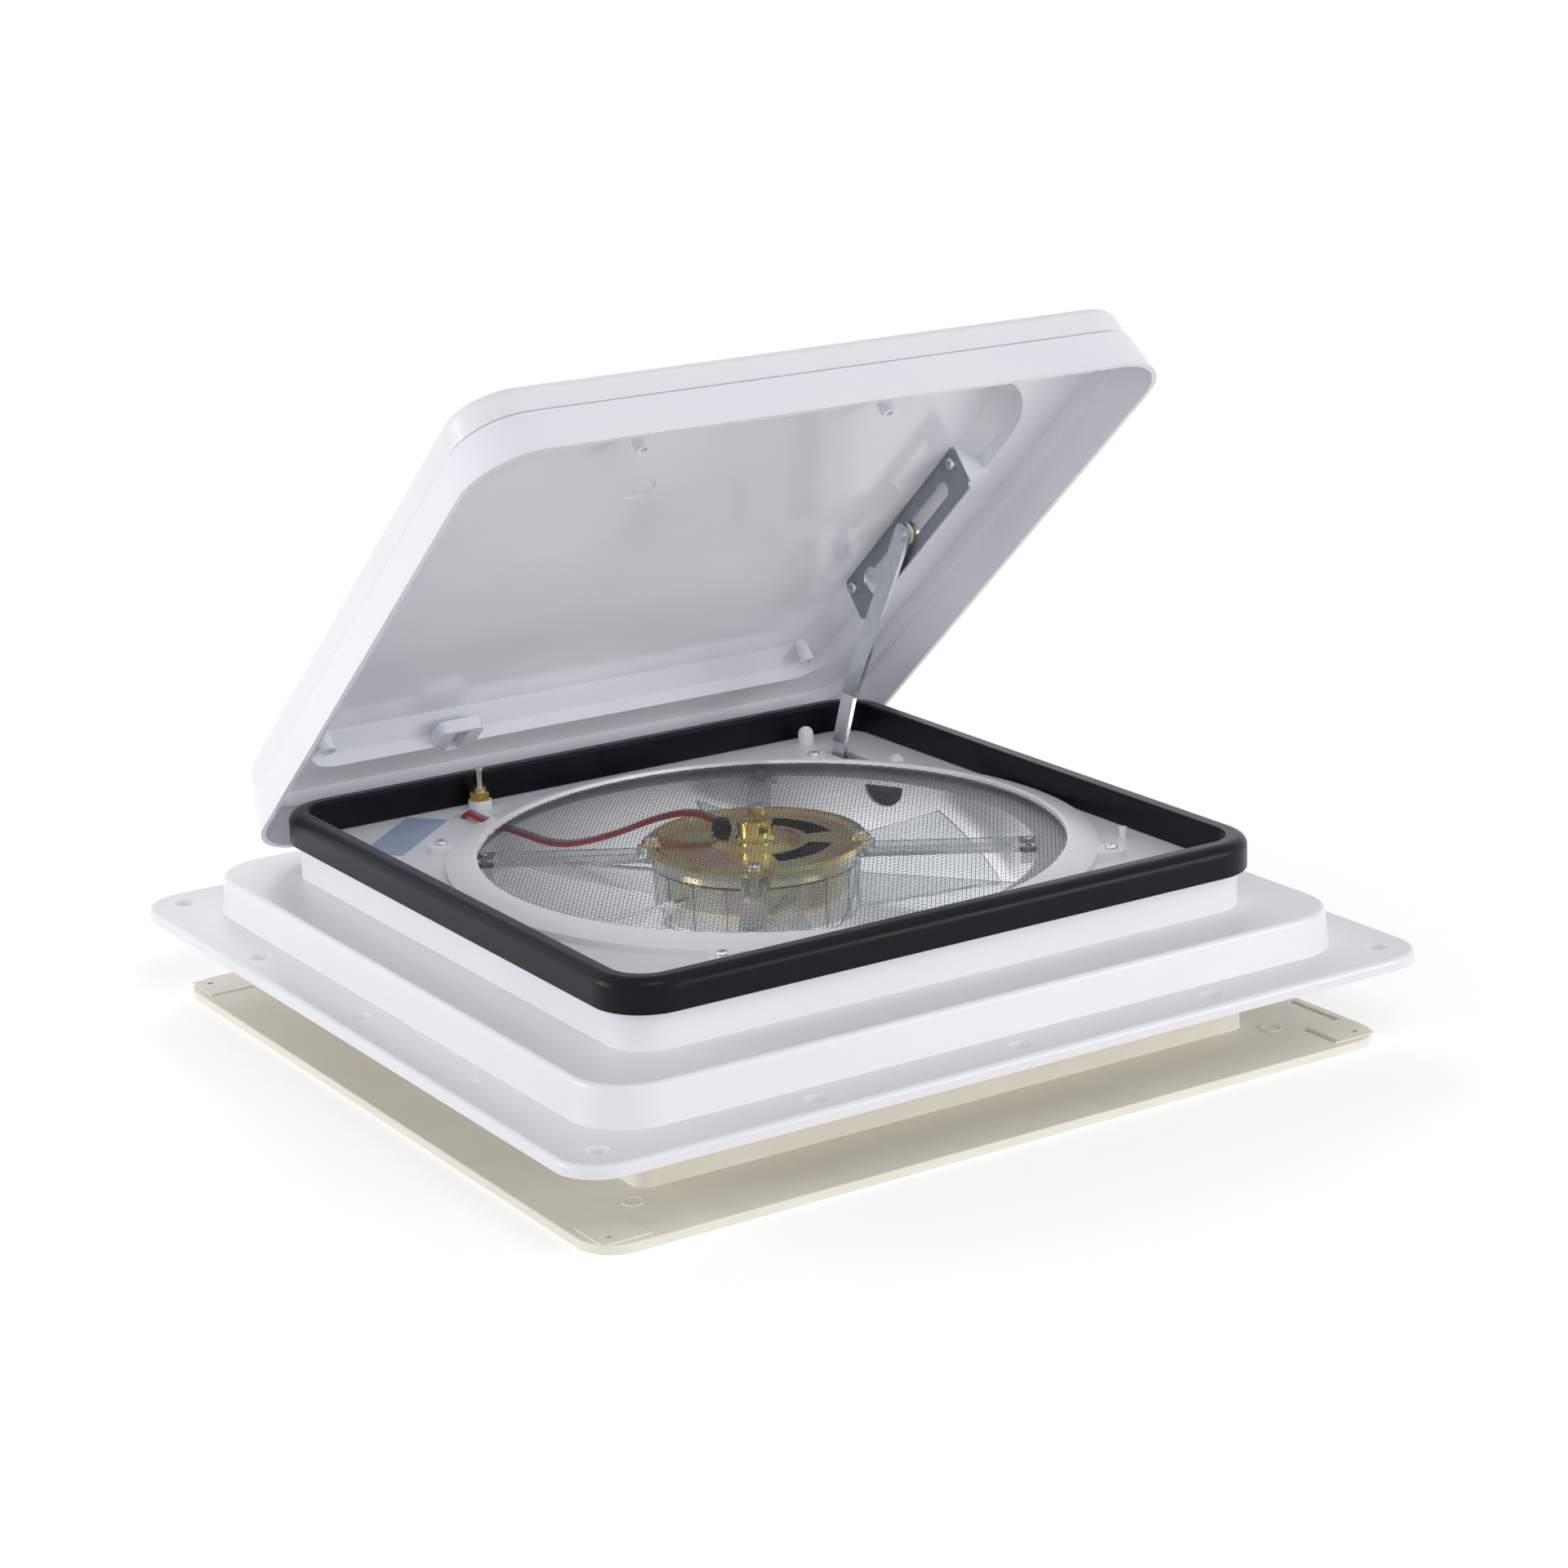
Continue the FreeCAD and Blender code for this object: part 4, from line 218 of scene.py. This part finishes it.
def linear(hex_code):
    """An sRGB hex colour as linear RGBA."""
    parts = [int(hex_code[k:k + 2], 16) / 255 for k in (1, 3, 5)]
    return [p / 12.92 if p <= 0.04045 else ((p + 0.055) / 1.055) ** 2.4 for p in parts] + [1.0]


def add_node(material, kind, settings=None, constants=None, links=None):
    """Adds one node: its properties, its constant sockets and what feeds its other sockets."""
    tree = material.node_tree
    node = tree.nodes.new(kind)
    for key, value in (settings or {}).items():
        setattr(node, key, value)
    for key, value in (constants or {}).items():
        node.inputs[key].default_value = value
    for key, source in (links or {}).items():
        tree.links.new(source, node.inputs[key])
    return node


def new_finish(name, **constants):
    """A material with one Principled shader, and places on the object for its patterns."""
    material = bpy.data.materials.new(name)
    material.use_nodes = True
    shader = material.node_tree.nodes["Principled BSDF"]
    for key, value in constants.items():
        shader.inputs[key.replace("_", " ")].default_value = value
    place = add_node(material, "ShaderNodeTexCoord").outputs["Object"]
    return material, shader, place


def grain(material, shader, place, size_mm, depth_mm):
    """A fine uneven surface: noise of one real size feeds the shader's normal."""
    noise = add_node(material, "ShaderNodeTexNoise",
                     constants={"Scale": 1 / (size_mm * MM), "Detail": 3.0},
                     links={"Vector": place})
    bump = add_node(material, "ShaderNodeBump",
                    constants={"Strength": 1.0, "Distance": depth_mm * MM},
                    links={"Height": noise.outputs["Fac"]})
    material.node_tree.links.new(bump.outputs["Normal"], shader.inputs["Normal"])
    return noise


def wear(material, shader, place, size_mm, rough, colours):
    """Slow patches of gloss and tone, as handling and moulding leave them."""
    links = material.node_tree.links
    patches = add_node(material, "ShaderNodeTexNoise",
                       constants={"Scale": 1 / (size_mm * MM), "Detail": 2.0},
                       links={"Vector": place}).outputs["Fac"]
    gloss = add_node(material, "ShaderNodeMapRange",
                     constants={"From Min": NOISE_LOW, "From Max": NOISE_HIGH,
                                "To Min": rough[0], "To Max": rough[1]},
                     links={"Value": patches})
    links.new(gloss.outputs["Result"], shader.inputs["Roughness"])
    tone = add_node(material, "ShaderNodeValToRGB", links={"Fac": patches})
    stops = tone.color_ramp.elements
    while len(stops) < len(colours):
        stops.new(0.5)
    for stop, (position, hex_code) in zip(stops, colours):
        stop.position = position
        stop.color = linear(hex_code)
    links.new(tone.outputs["Color"], shader.inputs["Base Color"])


def give(material, *names):
    """Puts a finish on CAD nodes or new pieces."""
    for name in names:
        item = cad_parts.get(name) or bpy.data.objects[name]
        item.data.materials.clear()
        item.data.materials.append(material)
    print(material.name, "on", len(names))


# %% [markdown]
# ## Moulded ABS
#
# The base and the lid's cover are cool-white ABS out of a steel mould: glossy, with a very faint
# ripple that breaks up reflections. Typical ABS has an IOR near 1.54. The lid's liner comes from
# a polished mould and mirrors the base below it, so it gets a lower roughness. Its slightly
# bluer
# tint is painted light: it stands in for the cool light that falls on the lid's underside. The
# ceiling garnish is an ivory grade with a satin, finely textured surface.

# %% ABS finishes
ABS_IOR = 1.54
white_abs, shader, place = new_finish("white_abs_gloss_moulded", IOR=ABS_IOR)
wear(white_abs, shader, place, 60, (0.29, 0.34), ((0.3, "#ECEDF0"), (0.7, "#EEEFF1")))
grain(white_abs, shader, place, 3.0, 0.003)

# The liner's tint is a little bluer than the cover's: painted cool light on the lid's underside.
polished_abs, shader, place = new_finish("white_abs_polished_moulded", IOR=ABS_IOR)
wear(polished_abs, shader, place, 80, (0.1, 0.17), ((0.3, "#ECEEF4"), (0.7, "#EFF1F6")))
grain(polished_abs, shader, place, 30, 0.05)

ivory_abs, shader, place = new_finish("ivory_abs_satin_moulded", IOR=ABS_IOR)
wear(ivory_abs, shader, place, 40, (0.42, 0.52), ((0.3, "#F1EBDC"), (0.7, "#F5F0E4")))
grain(ivory_abs, shader, place, 0.7, 0.02)

give(white_abs, "roof_base", "lid_cover", "screen_ring", "bottom_cover", "lift_gear_box")
give(polished_abs, "lid_liner")
give(ivory_abs, "ceiling_garnish")

# %% [markdown]
# ## Rubber
#
# The gasket is extruded EPDM rubber: black, a little grey where it catches the light, with a
# fine uneven skin. The wire sleeve and the cable bush are the same rubber.

# %% Rubber finish
rubber, shader, place = new_finish(
    "epdm_rubber_extruded", IOR=1.5, Specular_IOR_Level=0.16,
    Sheen_Weight=0.2, Sheen_Roughness=0.35, Sheen_Tint=linear("#D0D0E0"))
wear(rubber, shader, place, 25, (0.29, 0.35), ((0.3, "#08080C"), (0.7, "#0D0D13")))
grain(rubber, shader, place, 0.8, 0.015)
give(rubber, "lid_gasket", "motor_wire_grommet", "supply_grommet")

# %% [markdown]
# ## Clear polycarbonate
#
# The fan and the carrier of the motor are injection-moulded clear polycarbonate. It bends light
# strongly (IOR about 1.585) and has a slight flow haze: the roughness isn't quite zero, and a
# small part of the light scatters at the surface as on a milky white.

# %% Clear finish
clear_pc, shader, place = new_finish(
    "polycarbonate_clear_moulded", IOR=1.585, Transmission_Weight=0.86,
    Base_Color=linear("#F4F8F8"))
flow = grain(clear_pc, shader, place, 12, 0.04)
haze = add_node(clear_pc, "ShaderNodeMapRange",
                constants={"From Min": NOISE_LOW, "From Max": NOISE_HIGH,
                           "To Min": 0.03, "To Max": 0.1},
                links={"Value": flow.outputs["Fac"]})
clear_pc.node_tree.links.new(haze.outputs["Result"], shader.inputs["Roughness"])
give(clear_pc, "motor_spider", "fan_blade")

# %% [markdown]
# ## Metals
#
# A metal's colour is its reflection, so metallic is 1 and the base colour is light. The arm and
# the screws are bright zinc on steel with a soft spangle; the slotted bracket is darker,
# phosphated and satin; the motor is passivated to a yellow that drifts to pink and green where
# the film is thicker, which a slow noise drives through a colour ramp.

# %% Zinc, grey steel and passivated steel
zinc, shader, place = new_finish("zinc_plated_steel", Metallic=1.0)
wear(zinc, shader, place, 7, (0.28, 0.38), ((0.3, "#D6D9DD"), (0.7, "#E4E7EA")))
grain(zinc, shader, place, 1.2, 0.006)

grey_steel, shader, place = new_finish("phosphated_steel_satin", Metallic=1.0)
wear(grey_steel, shader, place, 8, (0.4, 0.5), ((0.3, "#969AA2"), (0.7, "#A4A8B0")))
grain(grey_steel, shader, place, 0.6, 0.008)

gold_zinc, shader, place = new_finish("yellow_passivated_steel", Metallic=1.0)
wear(gold_zinc, shader, place, 22, (0.12, 0.24),
     ((0.3, "#D8DEA4"), (0.45, "#F2E2A2"), (0.55, "#ECCE86"), (0.7, "#EEBCAA")))
grain(gold_zinc, shader, place, 2.0, 0.006)

screen_wire, shader, place = new_finish("screen_wire_drawn", Metallic=1.0)
wear(screen_wire, shader, place, 30, (0.35, 0.45), ((0.3, "#4C5056"), (0.7, "#5C6066")))

nickel, shader, place = new_finish("nickel_plated_brass", Metallic=1.0)
wear(nickel, shader, place, 3, (0.14, 0.24), ((0.3, "#B9B4A8"), (0.7, "#CEC9BE")))

brass, shader, place = new_finish("brass_turned", Metallic=1.0)
wear(brass, shader, place, 3, (0.18, 0.26), ((0.3, "#C19A4C"), (0.7, "#D6B56B")))

give(zinc, "lift_arm", "lift_arm_rivet", "screen_ring_screws", "spider_foot_screws",
     "motor_ear_screws", "bracket_screws", "bottom_cover_screws", "hinge_pins",
     "lift_pivot_pin", "lift_worm_shaft", "motor_shaft", "fan_nut")
give(grey_steel, "slotted_bracket")
give(gold_zinc, "motor_can", "motor_end_plate", "motor_bearing_cap")
give(screen_wire, "screen_warp", "screen_weft")
give(nickel, "lid_switch_body", "lid_switch_plunger")
give(brass, "lid_switch_nut", "motor_bearing_bushes")

# %% [markdown]
# ## Small plastics, wires and the bare label
#
# Nylon is slightly see-through, so light that enters comes out nearby: a little subsurface
# scattering shows that. The wires are soft PVC. The label is a plain film with nothing printed
# on it. The motor's inner pieces are dark iron, which hardly shows through the vents.

# %% Small finishes
nylon, shader, place = new_finish(
    "nylon_natural_moulded", IOR=1.53, Subsurface_Weight=0.3, Subsurface_Scale=0.002)
wear(nylon, shader, place, 4, (0.38, 0.48), ((0.3, "#E4DCB4"), (0.7, "#EDE6C6")))

black_abs, shader, place = new_finish("black_abs_textured", IOR=ABS_IOR)
wear(black_abs, shader, place, 10, (0.42, 0.55), ((0.3, "#19191B"), (0.7, "#222225")))
grain(black_abs, shader, place, 0.6, 0.02)

red_pvc, shader, place = new_finish("pvc_insulation_red", IOR=1.53)
wear(red_pvc, shader, place, 6, (0.3, 0.4), ((0.3, "#A3141C"), (0.7, "#B81F26")))

grey_pvc, shader, place = new_finish("pvc_insulation_grey", IOR=1.53)
wear(grey_pvc, shader, place, 6, (0.3, 0.4), ((0.3, "#85898E"), (0.7, "#95999E")))

film, shader, place = new_finish("label_film_blue", IOR=1.5)
wear(film, shader, place, 15, (0.3, 0.38), ((0.3, "#9FAFC8"), (0.7, "#ABBBD2")))

iron, shader, place = new_finish("sintered_iron_dark", Metallic=0.6)
wear(iron, shader, place, 4, (0.5, 0.65), ((0.3, "#3A3A3D"), (0.7, "#4A4744")))

give(nylon, "slot_roller", "lift_worm_wheel")
give(black_abs, "lift_knob", "speed_knob", "speed_switch")
give(red_pvc, "motor_wire_red_run")
give(grey_pvc, "motor_wire_grey_run")
give(film, "blank_label")
give(iron, "motor_magnets", "motor_armature", "motor_brushes")

# %% [markdown]
# ## Studio
#
# The product stands on a pale matt sheet in a white room, as in a catalogue studio. The picture
# shows the sheet as white: a glow that only camera, mirror and glass rays see lifts it, so the
# glow adds no light to the object's matt faces. It is weaker near the object, where the lamps
# reach, so that the object's shadow still shows on the sheet. The room fills in from all sides,
# brighter at its walls than at its ceiling, so that upright faces stand out from level ones.
# Four wide lamps shape the object from the left, the right, the back and above, and two small
# ones under the duct shine up past the clear fan, as the room below the roof would. Clear and
# shiny surfaces don't see those two themselves, or their squares would show in the blades.

# %% White sheet
SHEET_REACH = 40.0
GLOW_NEAR, GLOW_FAR = 0.44, 0.62
GLOW_START, GLOW_END = 0.4, 1.6


def seen_rays(tree_owner):
    """1 for rays that show the background: from the camera, off a mirror or through glass."""
    path = add_node(tree_owner, "ShaderNodeLightPath")
    total = path.outputs["Is Camera Ray"]
    for ray in ("Is Glossy Ray", "Is Transmission Ray"):
        total = add_node(tree_owner, "ShaderNodeMath", {"operation": "MAXIMUM"},
                         links={0: total, 1: path.outputs[ray]}).outputs["Value"]
    return total


floor_mesh = bpy.data.meshes.new("floor")
ground = cad_box[0][2]
corners = [(x * SHEET_REACH, y * SHEET_REACH, ground)
           for x, y in ((-1, -1), (1, -1), (1, 1), (-1, 1))]
floor_mesh.from_pydata(corners, [], [(0, 1, 2, 3)])
floor = bpy.data.objects.new("floor", floor_mesh)
scene.collection.objects.link(floor)

paper, shader, place = new_finish(
    "matt_white_sheet", Roughness=0.9, Emission_Color=linear("#FFFFFF"),
    Base_Color=linear("#EBEBEB"), Specular_IOR_Level=0.1)
away = add_node(paper, "ShaderNodeVectorMath", {"operation": "LENGTH"}, links={0: place})
level = add_node(paper, "ShaderNodeMapRange",
                 constants={"From Min": GLOW_START, "From Max": GLOW_END,
                            "To Min": GLOW_NEAR, "To Max": GLOW_FAR},
                 links={"Value": away.outputs["Value"]})
glow = add_node(paper, "ShaderNodeMath", {"operation": "MULTIPLY"},
                links={0: seen_rays(paper), 1: level.outputs["Result"]})
paper.node_tree.links.new(glow.outputs["Value"], shader.inputs["Emission Strength"])
floor_mesh.materials.append(paper)
print("floor at", round(ground, 4))

# %% World and lamps
ROOM_WALLS = 1.4
ROOM_CEILING = 0.06
world = bpy.data.worlds.new("studio")
scene.world = world
world.use_nodes = True
world.node_tree.nodes.clear()
upward = add_node(world, "ShaderNodeSeparateXYZ",
                  links={"Vector": add_node(world, "ShaderNodeTexCoord").outputs["Generated"]})
level = add_node(world, "ShaderNodeMapRange",
                 constants={"From Min": 0.0, "From Max": 1.0,
                            "To Min": ROOM_WALLS, "To Max": ROOM_CEILING},
                 links={"Value": upward.outputs["Z"]})
room = add_node(world, "ShaderNodeBackground", constants={"Color": linear("#F5F6F9")},
                links={"Strength": level.outputs["Result"]})
white = add_node(world, "ShaderNodeBackground",
                 constants={"Color": linear("#FFFFFF"), "Strength": 1.0})
pick = add_node(world, "ShaderNodeMixShader",
                links={0: seen_rays(world), 1: room.outputs[0], 2: white.outputs[0]})
add_node(world, "ShaderNodeOutputWorld", links={"Surface": pick.outputs[0]})


def soft_lamp(name, place, aim, size, power):
    """A square area lamp aimed at a point; metres and watts."""
    lamp = bpy.data.lights.new(name, "AREA")
    lamp.size = size
    lamp.energy = power
    item = bpy.data.objects.new(name, lamp)
    scene.collection.objects.link(item)
    item.location = place
    item.rotation_euler = (Vector(aim) - Vector(place)).to_track_quat("-Z", "Y").to_euler()
    print(name, power, "W")
    return item


soft_lamp("top_lamp", (-0.4, -1.5, 1.9), (0, 0, 0.15), 1.0, 9)
soft_lamp("left_lamp", (-2.1, 0.9, 0.5), (0, 0, 0.15), 0.9, 14)
soft_lamp("right_lamp", (1.4, -2.0, 0.3), (0, 0, 0.12), 0.9, 14)
soft_lamp("back_lamp", (0.8, 2.0, 1.5), (0, 0.1, 0.2), 1.2, 8)
for name, place, aim, power in (
        ("duct_lamp_left", (-0.05, -0.02, ground + 0.03), (0.12, 0.04, 0.06), 0.16),
        ("duct_lamp_right", (0.07, 0.02, ground + 0.012), (0.13, 0.06, 0.1), 0.3)):
    lamp = soft_lamp(name, place, aim, 0.16, power)
    lamp.visible_transmission = False
    lamp.visible_glossy = False
scene.view_settings.view_transform = "Standard"
